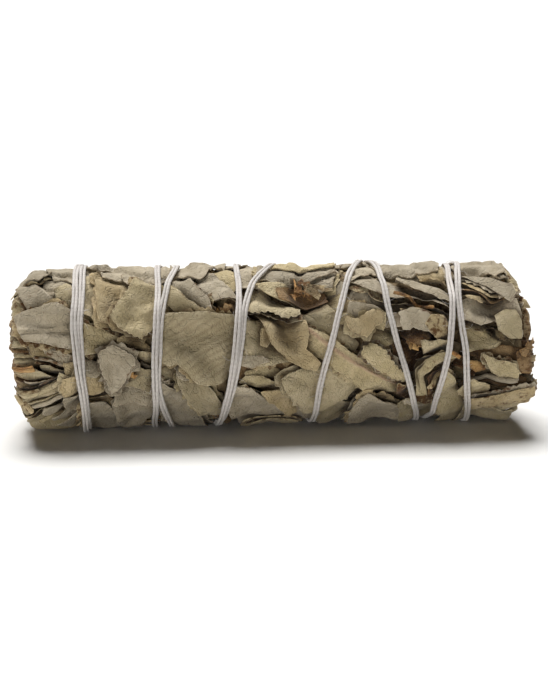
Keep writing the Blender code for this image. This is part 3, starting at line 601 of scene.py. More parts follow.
FOURTH_BAY = [
    Leaf("395,340 416,336 430,350 424,380 404,376 396,360", B, rise=0.1, crumple=0.6, dry=0.7),
    Leaf("370,330 383,319 393,324 400,340 384,347 368,338", O, rise=0.25),
    Leaf("347,418 352,404 366,398 395,407 408,417 @26,-83 @20,-81 @14,-83", P, rise=0.25, torn=0.08),
    Leaf("367,391 380,398 396,407 408,416 347,420 350,410 361,397", P, 39, rise=0.45, torn=0.06),
    Leaf("398,404 420,404 466,410 466,421 @36,-81 @28,-80 400,420", G, rise=0.35, torn=0.08),
    Leaf("361,355 364,347 372,344 380,348 385,351 392,361 406,378 404,382 375,365", O, 40, rise=0.5,
         teeth=0.16, torn=0.08),
    Leaf("398,381 414,389 440,402 438,409 416,403 398,394", T, rise=0.6, crown=0.4, torn=0.05, dry=0.8),
    Crumbs("407,398", P, 7, (1.3, 0.5), 0.8, 0.6),
    Crumbs("430,316", P, 7, (1.8, 0.8), 0.9, 0.6),
    Crumbs("422,335", B, 7, (1.8, 1.2), 1.1, 0.5),
    Crumbs("417,350", R, 5, (0.8, 1.5), 0.8, 0.3),
    Leaf("402,327 416,324 430,331 450,343 450,352 425,347 408,342", B, rise=0.4, torn=0.15, dry=0.6),
    Leaf("346,300 356,286 370,286 393,292 434,308 440,331 420,321 398,313 372,306", P, rise=0.45, crown=0.3,
         torn=0.06),
    Leaf("345,318 349,302 372,305 398,314 404,328 386,326 372,317", P, 43, rise=0.5, torn=0.08),
    Leaf("345,318 355,321 372,312 382,315 381,322 373,329 367,337 359,335 349,329", T, 41, rise=0.7,
         curl=0.4, torn=0.2),
    Leaf("400,308 412,306 432,314 448,324 444,330 420,318 402,312", T, rise=0.6, crown=0.5, torn=0.05,
         dry=0.6),
    Leaf("398,314 412,310 430,318 446,330 430,334 414,327 402,329", P, rise=0.7, curl=0.4, torn=0.28),
    Leaf("430,318 446,318 462,322 462,342 448,346 432,334 424,326", T, rise=0.45, dry=0.4),
    Leaf("350,284 356,271 378,277 402,284 432,289 450,296 450,308 436,304 418,296 400,299 376,293", P, 42,
         rise=0.6, crown=0.35, torn=0.07),
    Leaf("352,284 @15,84 @20,92 @34,92 448,272 425,276 400,272 380,270", P, rise=0.3, crown=0.3),
    Leaf("398,273 425,281 448,286 450,304 437,301 418,292 398,284", P, rise=0.85, crown=0.25, torn=0.15),
    Leaf("412,266 428,262 440,268 446,280 432,284 420,276", T, rise=0.7, curl=0.5, torn=0.25),
    Leaf("@18,106 @26,110 @34,106 @32,74 @22,72", P, rise=0.2, crown=0.3, torn=0.2),
    Leaf("420,340 446,340 462,346 462,360 440,352 424,352", G, rise=0.4, crown=0.4),
    Leaf("446,358 466,362 480,372 476,378 462,372 446,366", T, rise=0.5, crown=0.4, torn=0.05, dry=0.8),
    Leaf("417,390 418,372 426,359 437,353 454,351 452,361 438,372 430,383 425,391", O, 44, rise=0.8,
         crown=0.6, curl=0.5, torn=0.05),
    Leaf("427,378 438,372 446,366 446,378 436,390 428,391", B, rise=0.3, torn=0.1, dry=0.8),
    Roll("428,385 438,378 447,370", T, 0.55, rise=0.2, dry=0.5),
    Roll("422,389 420,374 429,361 440,355 454,353", O, 1.0, turns=1.5, rise=0.1),
    Roll("393,295 412,301 433,310", R, 0.42, rise=0.3, ragged=0.2, dry=0.5),
    Roll("446,349 465,360 477,373", R, 0.45, rise=0.4, ragged=0.2, dry=0.3),
    Roll("447,367 462,371 474,378", T, 0.4, rise=0.3, ragged=0.2, dry=0.8),
    Leaf("435,409 441,392 447,370 453,376 458,392 466,410 466,421 @38,-84 @33,-81 445,414", O, 45, rise=0.7,
         torn=0.05),
]
RIGHT_END = [
    Leaf("500,334 528,336 537,344 540,372 536,392 520,394 500,390", B, rise=0.0, torn=0.2, dry=0.5),
    Roll("500,398 533,395", G, 0.9, turns=1.2, dry=0.2),
    Roll("500,408 526,406", T, 0.85, turns=1.2, dry=0.3),
    Leaf("503,386 536,384 531,403 521,414 500,417", O, rise=0.5, crown=0.3, torn=0.12),
    Leaf("500,262 518,270 520,300 512,300 500,284", O, rise=0.0, torn=0.2, dry=0.4),
    Leaf("510,296 522,298 528,310 528,340 516,340 508,320", O, rise=0.0, torn=0.15, dry=0.7),
    Roll("500,271 510,288", R, 0.5, ragged=0.2, dry=0.0),
    Roll("514,290 524,292", B, 0.6, dry=0.6),
    Roll("510,298 524,300", P, 0.7, dry=0.2),
    Roll("524,344 538,344", B, 0.9, dry=0.7),
    Roll("518,352 534,354", T, 1.0, turns=1.7, dry=0.4),
    Roll("516,362 540,364", T, 1.0, turns=1.6, dry=0.3),
    Roll("500,372 538,373", T, 0.8, turns=1.5, dry=0.5),
    Roll("500,381 534,378", B, 0.9, dry=0.5),
    Leaf("462,384 500,384 528,382 532,402 500,406 464,400", B, rise=0.0),
    Roll("480,390 510,392 534,388", B, 0.7, rise=-0.4),
    Roll("480,416 500,416 518,414", G, 0.75, dry=0.2),
    Roll("470,422 490,422 508,420", G, 0.7, dry=0.3),
    Roll("474,410 500,411 520,410", G, 0.7, dry=0.2),
    Roll("466,405 500,404 530,401", T, 0.85, turns=1.15, dry=0.3),
    Roll("466,400 500,395 520,391 538,386", T, 0.9, turns=1.15, dry=0.4),
    Leaf("466,408 500,410 511,412 506,419 @38,-80 @43,-82 @41,-95 @36,-90", G, rise=0.2, torn=0.15),
    Leaf("483,338 505,336 524,340 524,348 500,350 484,347", G, rise=0.3, torn=0.12),
    Leaf("466,352 484,350 500,347 524,350 530,360 528,376 516,372 500,362 480,360", B, rise=0.1, crown=0.4,
         torn=0.1),
    Leaf("517,352 530,352 531,372 519,374", B, rise=0.4, crown=0.3, torn=0.1, dry=0.4),
    Leaf("462,360 478,364 494,371 486,374 468,368", R, rise=0.2, torn=0.1),
    Leaf("462,318 475,323 493,329 506,340 497,348 480,349 463,352", O, rise=0.45, crown=0.3, torn=0.05,
         folds=(Fold("464,322 484,330 502,342", 0.5, 0.4),)),
    Leaf("482,354 496,360 515,362 518,370 516,379 500,378 490,368", O, 48, rise=0.5, torn=0.12,
         folds=(Fold("484,356 500,376", 0.4, 0.4),)),
    Roll("468,383 500,382 518,382", P, 0.95, turns=1.2, dry=0.1),
    Leaf("456,388 472,378 488,384 488,394 466,400", O, rise=0.3, crown=0.3),
    Leaf("466,399 500,392 520,388 533,385 533,392 505,401 468,407", T, 49, rise=0.35, crown=0.5, torn=0.05,
         dry=0.3),
    Crumbs("501,332", R, 3, (0.8, 0.3), 0.6, 0.6),
    Crumbs("514,300", P, 8, (1.0, 1.2), 0.7, 0.3),
    Crumbs("526,346", B, 6, (0.7, 1.2), 0.9, 0.2),
    Crumbs("476,293", P, 5, (1.4, 0.6), 0.8, 0.3),
    Leaf("460,301 478,299 494,300 514,303 520,318 520,337 508,338 495,320 480,326 462,318", P, 47, rise=2.0,
         crown=0.25, torn=0.06),
    Leaf("494,318 504,312 514,312 520,322 520,337 508,336 498,330", G, rise=0.6, torn=0.05),
    Leaf("456,290 470,290 486,297 482,302 466,300", T, rise=0.4, torn=0.25),
    Leaf("456,282 480,286 494,292 508,300 492,302 474,294 458,290", B, rise=0.35, torn=0.1),
    Leaf("458,284 478,284 496,294 506,302 486,296 470,290", T, rise=0.3, torn=0.06),
    Leaf("455,270 475,268 491,276 509,285 514,296 508,302 486,289 463,281", P, 46, rise=0.7, crown=0.45,
         torn=0.06, folds=(Fold("457,277 480,277 508,292"),)),
    Leaf("455,264 480,262 500,268 508,278 490,276 476,269 456,270", P, rise=0.4, crown=0.4),
    Leaf("@36,112 @41,114 @46,110 @46,72 @40,70 @36,74", P, rise=0.2, crown=0.3, torn=0.12),
]
UNDERSIDE = [
    Leaf("@-5.5,-66 @0,-64 @4.5,-67 @4.5,-112 @0,-115 @-5.5,-113", G, 50, rise=0.1, curl=0.0),
    Roll("216,420 228,421", B, 1.0, turns=1.9, rise=0.3, dry=0.2),
]

BACK_ROWS = (156.0, 206.0, 256.0)
BACK_COLUMNS = (-31.0, 0.0, 31.0)
BACK_LEAF_LENGTH = 33.0
BACK_LEAF_SPAN = 56.0
BACK_TONES = (G, P, O, T, G, P, O, G, T)


@dataclass
class Sheet:
    """Points and faces of a piece, with what its finish reads.

    Points are rows of x, y and radius on the unrolled stick, but those of thread and stems are in space,
    in metres.
    """

    points: np.ndarray
    faces: list[tuple[int, ...]]
    marks: dict[str, np.ndarray]

    @staticmethod
    def closed(outer: np.ndarray, inner: np.ndarray, marks: dict[str, np.ndarray]) -> "Sheet":
        """A thin closed sheet between two grids of points.

        Args:
            outer: The outside, as rows by columns of x, y and radius.
            inner: The inside, of the same size.
            marks: What the finish reads, for each point of one grid.

        Returns:
            The closed sheet.
        """
        rows, columns = outer.shape[:2]
        index = np.arange(rows * columns).reshape(rows, columns)
        a, b, c, d = index[:-1, :-1], index[:-1, 1:], index[1:, 1:], index[1:, :-1]
        quads = np.stack([a, b, c, d], axis=-1).reshape(-1, 4).tolist()
        count = rows * columns
        ring = np.concatenate([index[0, :-1], index[:-1, -1], index[-1, :0:-1], index[:0:-1, 0]])
        faces = [tuple(face) for face in quads]
        faces += [tuple(corner + count for corner in face[::-1]) for face in quads]
        faces += [(q, p, p + count, q + count) for p, q in zip(ring.tolist(), np.roll(ring, -1).tolist())]
        flat = {key: value.reshape(count, -1) for key, value in marks.items()}
        doubled = {key: np.concatenate([value] * 2).squeeze() for key, value in flat.items()}
        return Sheet(np.vstack([outer.reshape(-1, 3), inner.reshape(-1, 3)]), faces, doubled)

    @staticmethod
    def ring_faces(rings: int, sides: int, turned: bool = False) -> list[tuple[int, ...]]:
        """Faces that join rings of points to a closed rod.

        Args:
            rings: Number of rings.
            sides: Number of points in each ring.
            turned: Whether the rings run the other way round.

        Returns:
            The faces, with the two ends last.
        """
        quads = []
        for start in range(0, (rings - 1) * sides, sides):
            for k in range(sides):
                n = (k + 1) % sides
                quads.append((start + k, start + k + sides, start + n + sides, start + n))
        caps = [tuple(range(sides)), tuple(range((rings - 1) * sides, rings * sides))[::-1]]
        if turned:
            return [(a, d, c, b) for a, b, c, d in quads] + [cap[::-1] for cap in caps]
        return quads + caps


class PieceMaker:
    """Turns sheets into pieces that ride on the stick."""

    # The deep mark sets painted shade in crevices; the rim mark is partly painted highlight.
    MARKS = ("rim", "rib", "vein", "dry", "tint", "deep")

    @classmethod
    def blank_marks(cls, count: int, seed: float, places_on: np.ndarray,
                    **given: np.ndarray) -> dict[str, np.ndarray]:
        """Every mark that a leaf finish reads, zero where it isn't given.

        Args:
            count: Number of points.
            seed: Moves the pattern of the finish.
            places_on: Rows of x and y for the pattern.
            given: Marks that aren't zero.

        Returns:
            The marks by name.
        """
        marks = {key: given.get(key, np.zeros(count)) for key in cls.MARKS}
        marks["leaf_place"] = np.column_stack([places_on, np.full(count, seed)])
        return marks

    @staticmethod
    def joined(sheets: list[Sheet]) -> Sheet:
        """One sheet out of several.

        Args:
            sheets: Sheets with the same marks.

        Returns:
            The joined sheet.
        """
        points = np.concatenate([sheet.points for sheet in sheets])
        faces: list[tuple[int, ...]] = []
        start = 0
        for sheet in sheets:
            faces += [tuple(corner + start for corner in face) for face in sheet.faces]
            start += len(sheet.points)
        marks = {key: np.concatenate([sheet.marks[key] for sheet in sheets]) for key in sheets[0].marks}
        return Sheet(points, faces, marks)

    @staticmethod
    def piece(name: str, points: np.ndarray, sheet: Sheet, material: bpy.types.Material, slot: str,
              nodes: tuple[str, ...] = (), sharp: float = 50.0) -> bpy.types.Object:
        """Make an object, dress it and fasten it to the stick.

        Args:
            name: The piece's name.
            points: Its points in space, in metres.
            sheet: Its faces and marks.
            material: Its finish.
            slot: The record's material slot; not used.
            nodes: The nodes that it stands for.
            sharp: Angle in degrees above which an edge stays sharp.

        Returns:
            The new object.
        """
        mesh = bpy.data.meshes.new(name)
        mesh.from_pydata(points.tolist(), [], sheet.faces)
        mesh.update()
        for key, values in sheet.marks.items():
            kind, field_name = ("FLOAT", "value") if values.ndim == 1 else ("FLOAT_VECTOR", "vector")
            layer = mesh.attributes.new(key, kind, "POINT")
            layer.data.foreach_set(field_name, values.astype(np.float32).ravel())
        mesh.shade_smooth()
        mesh.set_sharp_from_angle(angle=math.radians(sharp))
        mesh.materials.append(material)
        item = bpy.data.objects.new(name, mesh)
        bpy.context.scene.collection.objects.link(item)
        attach(item, "root")
        if nodes:
            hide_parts(*nodes)
        LOG.info("%s: %d faces", name, len(sheet.faces))
        return item


class Wiring:
    """Adds and links shader nodes in one tree."""

    def __init__(self, tree: bpy.types.NodeTree) -> None:
        """Work in a tree."""
        self.tree = tree

    def add(self, kind: str, inputs: dict | None = None, **settings: object) -> bpy.types.Node:
        """Add a node.

        Args:
            kind: The node's type.
            inputs: Sockets by name or number, each with a value or with the socket that feeds it.
            settings: The node's own settings.

        Returns:
            The new node.
        """
        node = self.tree.nodes.new(kind)
        for key, value in settings.items():
            setattr(node, key, value)
        for key, value in (inputs or {}).items():
            if isinstance(value, bpy.types.NodeSocket):
                self.tree.links.new(value, node.inputs[key])
            else:
                node.inputs[key].default_value = value
        return node

    def math(self, operation: str, first: object, second: object = 0.5,
             third: object = 0.5) -> bpy.types.NodeSocket:
        """A Math node's result."""
        return self.add("ShaderNodeMath", {0: first, 1: second, 2: third}, operation=operation).outputs[0]

    def mix(self, share: object, first: object, second: object, blend: str = "MIX") -> bpy.types.NodeSocket:
        """Two colours mixed by a share."""
        inputs = {"Factor": share, 6: first, 7: second}
        return self.add("ShaderNodeMix", inputs, data_type="RGBA", blend_type=blend).outputs[2]

    def ramp(self, value: object, low: float, high: float) -> bpy.types.NodeSocket:
        """A value spread from 0 at low to 1 at high."""
        inputs = {0: value, 1: low, 2: high}
        return self.add("ShaderNodeMapRange", inputs, interpolation_type="SMOOTHSTEP").outputs[0]

    def noise(self, place: object, scale: object, detail: float, rough: float = 0.55) -> bpy.types.NodeSocket:
        """A noise value at a place in millimetres."""
        inputs = {"Vector": place, "Scale": scale, "Detail": detail, "Roughness": rough}
        return self.add("ShaderNodeTexNoise", inputs).outputs["Fac"]

    def mark(self, name: str, output: str = "Fac") -> bpy.types.NodeSocket:
        """A mark that the mesh carries."""
        return self.add("ShaderNodeAttribute", attribute_name=name).outputs[output]

    def use(self, group: bpy.types.NodeTree, inputs: dict) -> bpy.types.bpy_prop_collection:
        """Outputs of a node group that is fed with inputs."""
        return self.add("ShaderNodeGroup", inputs, node_tree=group).outputs

    def line(self, value: object, width: float) -> bpy.types.NodeSocket:
        """0 where a value is a half, rising to 1 at a width from it."""
        return self.ramp(self.math("ABSOLUTE", self.math("SUBTRACT", value, 0.5)), 0.0, width)

    @classmethod
    def of_material(cls, name: str, settings: dict[str, float]) -> tuple[bpy.types.Material, "Wiring"]:
        """A new material and its wiring.

        Args:
            name: The material's name.
            settings: Values of the Principled shader by input name.

        Returns:
            The material and the wiring of its nodes.
        """
        made = bpy.data.materials.new(name)
        made.use_nodes = True
        for key, value in settings.items():
            made.node_tree.nodes["Principled BSDF"].inputs[key].default_value = value
        return made, cls(made.node_tree)

    def dress(self, color: object, height: object, strength: float, distance: float) -> None:
        """Feed the Principled shader.

        Args:
            color: The surface's colour.
            height: The height of its bumps.
            strength: How strongly they show, from 0 to 1.
            distance: Height of a bump of 1, in millimetres.
        """
        shader = self.tree.nodes["Principled BSDF"]
        bump = self.add("ShaderNodeBump", {"Height": height, "Strength": strength, "Distance": distance * MM})
        self.tree.links.new(color, shader.inputs["Base Color"])
        self.tree.links.new(bump.outputs[0], shader.inputs["Normal"])


def opaque(color: tuple[float, float, float]) -> tuple[float, float, float, float]:
    """A colour with an alpha of 1."""
    return (*color, 1.0)


class Effects:
    """Shader node groups that several finishes share."""

    COLOR = "NodeSocketColor"
    VALUE = "NodeSocketFloat"
    PLACE = "NodeSocketVector"

    @staticmethod
    def group(name: str, inputs: dict[str, str],
              outputs: dict[str, str]) -> tuple[bpy.types.NodeTree, Wiring]:
        """A new group with named sockets.

        Args:
            name: The group's name.
            inputs: Socket type by input name.
            outputs: Socket type by output name.

        Returns:
            The group and its wiring.
        """
        tree = bpy.data.node_groups.new(name, "ShaderNodeTree")
        for in_out, sockets in (("INPUT", inputs), ("OUTPUT", outputs)):
            for key, kind in sockets.items():
                tree.interface.new_socket(key, in_out=in_out, socket_type=kind)
        return tree, Wiring(tree)

    @classmethod
    def mottling(cls) -> bpy.types.NodeTree:
        """Cloudy and speckled colour, shifted as a whole from leaf to leaf.

        Returns:
            The node group.
        """
        colors = dict.fromkeys(("Main", "Light", "Dark"), cls.COLOR)
        inputs = {"Place": cls.PLACE, **colors, "Tint": cls.VALUE}
        tree, wires = cls.group("leaf_mottling", inputs, {"Color": cls.COLOR})
        given = wires.add("NodeGroupInput").outputs
        cloud = wires.ramp(wires.noise(given["Place"], 0.32, 3.0), 0.38, 0.68)
        spots = wires.ramp(wires.noise(given["Place"], 2.3, 5.0, 0.7), 0.52, 0.72)
        soft = wires.mix(cloud, given["Main"], given["Light"])
        spotted = wires.mix(wires.math("MULTIPLY", spots, 0.28), soft, given["Dark"])
        value = wires.math("MULTIPLY_ADD", given["Tint"], 0.13, 1.0)
        shifted = wires.add("ShaderNodeHueSaturation", {"Color": spotted, "Value": value}).outputs[0]
        wires.add("NodeGroupOutput", {"Color": shifted})
        return tree

    @classmethod
    def vein_net(cls) -> bpy.types.NodeTree:
        """The fine net of veins that makes a sage leaf look pebbled.

        Returns:
            The node group.
        """
        outputs = dict.fromkeys(("Net", "Height", "Creases"), cls.VALUE)
        tree, wires = cls.group("leaf_vein_net", {"Place": cls.PLACE, "Pitch": cls.VALUE}, outputs)
        given = wires.add("NodeGroupInput").outputs
        bent = wires.add("ShaderNodeTexNoise", {"Vector": given["Place"], "Scale": 1.1, "Detail": 2.0})
        moved = wires.add("ShaderNodeVectorMath", {0: bent.outputs["Color"], "Scale": 0.7}, operation="SCALE")
        inputs = {0: given["Place"], 1: moved.outputs[0]}
        place = wires.add("ShaderNodeVectorMath", inputs, operation="ADD").outputs[0]
        pitch = wires.math("DIVIDE", 1.0, given["Pitch"])
        nets = []
        for scale, width in ((pitch, 0.22), (0.42, 0.06)):
            cells = {"Vector": place, "Scale": scale}
            edges = wires.add("ShaderNodeTexVoronoi", cells, feature="DISTANCE_TO_EDGE").outputs[0]
            nets.append(wires.ramp(edges, 0.0, width))
        height = wires.math("MULTIPLY", nets[0], wires.math("MULTIPLY_ADD", nets[1], 0.4, 0.6))
        net = wires.math("SUBTRACT", 1.0, height)
        lines = wires.line(wires.noise(place, 0.33, 2.0), 0.035)
        small = wires.line(wires.noise(place, 0.8, 2.0), 0.05)
        creased = wires.math("ADD", wires.math("MULTIPLY", lines, 0.9), wires.math("MULTIPLY", small, 0.5))
        wires.add("NodeGroupOutput", {"Net": net, "Height": height, "Creases": creased})
        return tree

    @classmethod
    def felt(cls) -> bpy.types.NodeTree:
        """The short matted hairs on a leaf or the loose fibres of a strand.

        Returns:
            The node group.
        """
        inputs = {"Place": cls.PLACE, "Scale": cls.VALUE}
        tree, wires = cls.group("felted_hairs", inputs, {"Height": cls.VALUE})
        given = wires.add("NodeGroupInput").outputs
        wires.add("NodeGroupOutput", {"Height": wires.noise(given["Place"], given["Scale"], 6.0, 0.75)})
        return tree

    @classmethod
    def edge_colour_and_highlight(cls) -> bpy.types.NodeTree:
        """A pale margin, partly the leaf's own and partly painted highlight where light catches the edge,
        with a brown line inside it, and brown dry patches.

        Returns:
            The node group.
        """
        inputs = {"Place": cls.PLACE, **dict.fromkeys(("Color", "Rim Color", "Dry Color"), cls.COLOR),
                  **dict.fromkeys(("Rim", "Dry"), cls.VALUE)}
        tree, wires = cls.group("leaf_edge_colour_and_highlight", inputs, {"Color": cls.COLOR})
        given = wires.add("NodeGroupInput").outputs
        patchy = wires.noise(given["Place"], 0.9, 4.0, 0.6)
        dried = wires.ramp(wires.math("ADD", patchy, wires.math("MULTIPLY", given["Dry"], 0.45)), 0.62, 0.85)
        brown = wires.mix(dried, given["Color"], given["Dry Color"])
        inside = wires.ramp(given["Rim"], 0.25, 0.7)
        line = wires.math("MULTIPLY", inside, wires.ramp(patchy, 0.42, 0.66))
        lined = wires.mix(wires.math("MULTIPLY", line, 0.6), brown, given["Dry Color"])
        # Pale outer rim, in patches: partly the leaf's paler margin, partly painted highlight where light
        # catches the edge.
        wear_and_highlight = wires.ramp(wires.noise(given["Place"], 0.6, 2.0), 0.35, 0.65)
        outer = wires.math("MULTIPLY", wires.ramp(given["Rim"], 0.5, 0.98), wires.math("MULTIPLY", wear_and_highlight, 0.7))
        wires.add("NodeGroupOutput", {"Color": wires.mix(outer, lined, given["Rim Color"])})
        return tree


@dataclass(frozen=True)
class LeafFinish:
    """A dried sage leaf: its colours and how strongly its surface is pebbled."""

    # Colour multiplied in as painted shade where a leaf lies deep in a crevice or under other leaves.
    PAINTED_SHADE_COLOR: ClassVar[tuple[float, float, float, float]] = (0.24, 0.19, 0.14, 1.0)
    tone: Tone
    slot: str
    main: tuple[float, float, float]
    light: tuple[float, float, float]
    dark: tuple[float, float, float]
    rim: tuple[float, float, float]
    dry: tuple[float, float, float] = (0.13, 0.065, 0.025)
    rib: tuple[float, float, float] = (0.50, 0.345, 0.22)
    net_pitch: float = 0.55
    net_depth: float = 0.55
    net_shade: float = 0.13
    vein_shade: float = 0.55
    painted_shade_strength: float = 0.8
    hair_scale: float = 3.2
    hair_depth: float = 0.5
    bump_height: float = 0.16
    roughness: float = 0.86
    sheen: float = 0.12

    def material(self, groups: dict[str, bpy.types.NodeTree]) -> bpy.types.Material:
        """Build the material.

        Args:
            groups: The shared node groups by name.

        Returns:
            The new material.
        """
        made, wires = Wiring.of_material(f"sage_leaf_{self.tone.value}", {
            "Roughness": self.roughness, "Sheen Weight": self.sheen, "Sheen Roughness": 0.5,
            "Specular IOR Level": 0.2})
        place = wires.mark("leaf_place", "Vector")
        dark = opaque(self.dark)
        mottled = wires.use(groups["mottling"], {
            "Place": place, "Tint": wires.mark("tint"), "Main": opaque(self.main),
            "Light": opaque(self.light), "Dark": dark})
        net = wires.use(groups["vein_net"], {"Place": place, "Pitch": self.net_pitch})
        netted = wires.mix(wires.math("MULTIPLY", net["Net"], self.net_shade), mottled[0], dark)
        veined = wires.mix(wires.math("MULTIPLY", wires.mark("vein"), self.vein_shade), netted, dark)
        # Dry patches, a brown line and a pale rim that is partly painted highlight.
        wear_and_highlight = wires.use(groups["edge_colour_and_highlight"], {
            "Place": place, "Color": veined, "Rim": wires.mark("rim"), "Dry": wires.mark("dry"),
            "Rim Color": opaque(self.rim), "Dry Color": opaque(self.dry)})
        ribbed = wires.mix(wires.mark("rib"), wear_and_highlight[0], opaque(self.rib))
        # Painted shade: the colour darkens where the leaf lies deep below the outside nearby.
        below = wires.math("MULTIPLY", wires.mark("deep"), self.painted_shade_strength)
        with_painted_shade = wires.mix(below, ribbed, self.PAINTED_SHADE_COLOR, "MULTIPLY")
        felt = wires.use(groups["felt"], {"Place": place, "Scale": self.hair_scale})
        hairs = wires.math("MULTIPLY", felt[0], self.hair_depth)
        height = wires.math("ADD", wires.math("MULTIPLY", net["Height"], self.net_depth), hairs)
        height = wires.math("ADD", height, net["Creases"])
        wires.dress(with_painted_shade, height, 0.9, self.bump_height)
        return made


@dataclass(frozen=True)
class ThreadFinish:
    """White cotton: plied, slightly fuzzy, with painted grey shade in its grooves."""

    main: tuple[float, float, float] = (0.72, 0.675, 0.63)
    groove: tuple[float, float, float] = (0.53, 0.475, 0.42)
    ply_pitch: float = 0.85
    ply_shade: float = 0.06
    ply_depth: float = 0.14
    hair_scale: float = 5.0
    bump_height: float = 0.1
    roughness: float = 0.9
    sheen: float = 0.3

    def material(self, groups: dict[str, bpy.types.NodeTree]) -> bpy.types.Material:
        """Build the material.

        Args:
            groups: The shared node groups by name.

        Returns:
            The new material.
        """
        made, wires = Wiring.of_material("cotton_thread", {
            "Roughness": self.roughness, "Sheen Weight": self.sheen})
        place = wires.mark("leaf_place", "Vector")
        parts = wires.add("ShaderNodeSeparateXYZ", {0: place}).outputs
        turns = wires.math("MULTIPLY", parts[0], 2.0 * math.pi / self.ply_pitch)
        ply = wires.math("SINE", wires.math("ADD", turns, wires.math("MULTIPLY", parts[1], 2.0)))
        felt = wires.use(groups["felt"], {"Place": place, "Scale": self.hair_scale})
        # Grey mixed in along the ply grooves as painted shade, and in patches from the fibres' fuzz.
        shade = wires.math("ADD", wires.math("MULTIPLY", ply, self.ply_shade), felt[0])
        color = wires.mix(wires.ramp(shade, 0.2, 0.62), opaque(self.groove), opaque(self.main))
        height = wires.math("ADD", wires.math("MULTIPLY", ply, self.ply_depth), felt[0])
        wires.dress(color, height, 0.6, self.bump_height)
        return made


@dataclass(frozen=True)
class StemFinish:
    """A woody sage stem with a paler cut end."""

    bark: tuple[float, float, float] = (0.20, 0.13, 0.075)
    wood: tuple[float, float, float] = (0.42, 0.32, 0.18)
    stretch: tuple[float, float, float] = (0.35, 3.0, 3.0)
    grain_scale: float = 1.6
    hair_scale: float = 2.0
    bump_height: float = 0.15
    roughness: float = 0.8

    def material(self, groups: dict[str, bpy.types.NodeTree]) -> bpy.types.Material:
        """Build the material.

        Args:
            groups: The shared node groups by name.

        Returns:
            The new material.
        """
        made, wires = Wiring.of_material("woody_stem", {"Roughness": self.roughness})
        inputs = {0: wires.mark("leaf_place", "Vector"), 1: self.stretch}
        long = wires.add("ShaderNodeVectorMath", inputs, operation="MULTIPLY").outputs[0]
        grain = wires.noise(long, self.grain_scale, 5.0, 0.6)
        color = wires.mix(grain, opaque(self.bark), opaque(self.wood))
        cut = wires.mix(wires.mark("rim"), color, opaque(self.wood))
        felt = wires.use(groups["felt"], {"Place": long, "Scale": self.hair_scale})
        wires.dress(cut, wires.math("ADD", grain, felt[0]), 0.6, self.bump_height)
        return made


class Finishes:
    """Every material of the stick."""

    LEAVES = (
        LeafFinish(Tone.PALE, "leaf_pale", (0.405, 0.342, 0.240), (0.520, 0.448, 0.330),
                   (0.304, 0.239, 0.148), (0.756, 0.655, 0.483), net_depth=0.2),
        LeafFinish(Tone.TAN, "leaf_tan", (0.500, 0.385, 0.210), (0.615, 0.490, 0.290),
                   (0.262, 0.174, 0.082), (0.784, 0.626, 0.366), net_depth=0.25),
        LeafFinish(Tone.OLIVE, "leaf_olive", (0.511, 0.414, 0.233), (0.639, 0.528, 0.319),
                   (0.245, 0.185, 0.096), (0.798, 0.673, 0.425), net_depth=0.45),
        LeafFinish(Tone.GREY, "leaf_grey", (0.457, 0.376, 0.226), (0.558, 0.466, 0.299),
                   (0.249, 0.192, 0.111), (0.725, 0.626, 0.415), net_depth=0.25),
        LeafFinish(Tone.BROWN, "leaf_olive", (0.290, 0.185, 0.088), (0.420, 0.285, 0.145),
                   (0.096, 0.048, 0.018), (0.451, 0.257, 0.101), net_depth=0.4),
        LeafFinish(Tone.RUST, "leaf_tan", (0.470, 0.235, 0.080), (0.640, 0.400, 0.160),
                   (0.112, 0.049, 0.025), (0.595, 0.363, 0.140), net_depth=0.45),
        LeafFinish(Tone.SPRIG, "sprig", (0.360, 0.262, 0.140), (0.490, 0.378, 0.222),
                   (0.154, 0.088, 0.035), (0.550, 0.318, 0.123), net_depth=0.25),
    )

    def __init__(self) -> None:
        """Build the groups and the materials."""
        groups = {
            "mottling": Effects.mottling(),
            "vein_net": Effects.vein_net(),
            "felt": Effects.felt(),
            "edge_colour_and_highlight": Effects.edge_colour_and_highlight(),
        }
        self.leaf = {finish.tone: finish.material(groups) for finish in self.LEAVES}
        self.slot = {finish.tone: finish.slot for finish in self.LEAVES}
        self.thread = ThreadFinish().material(groups)
        self.stem = StemFinish().material(groups)


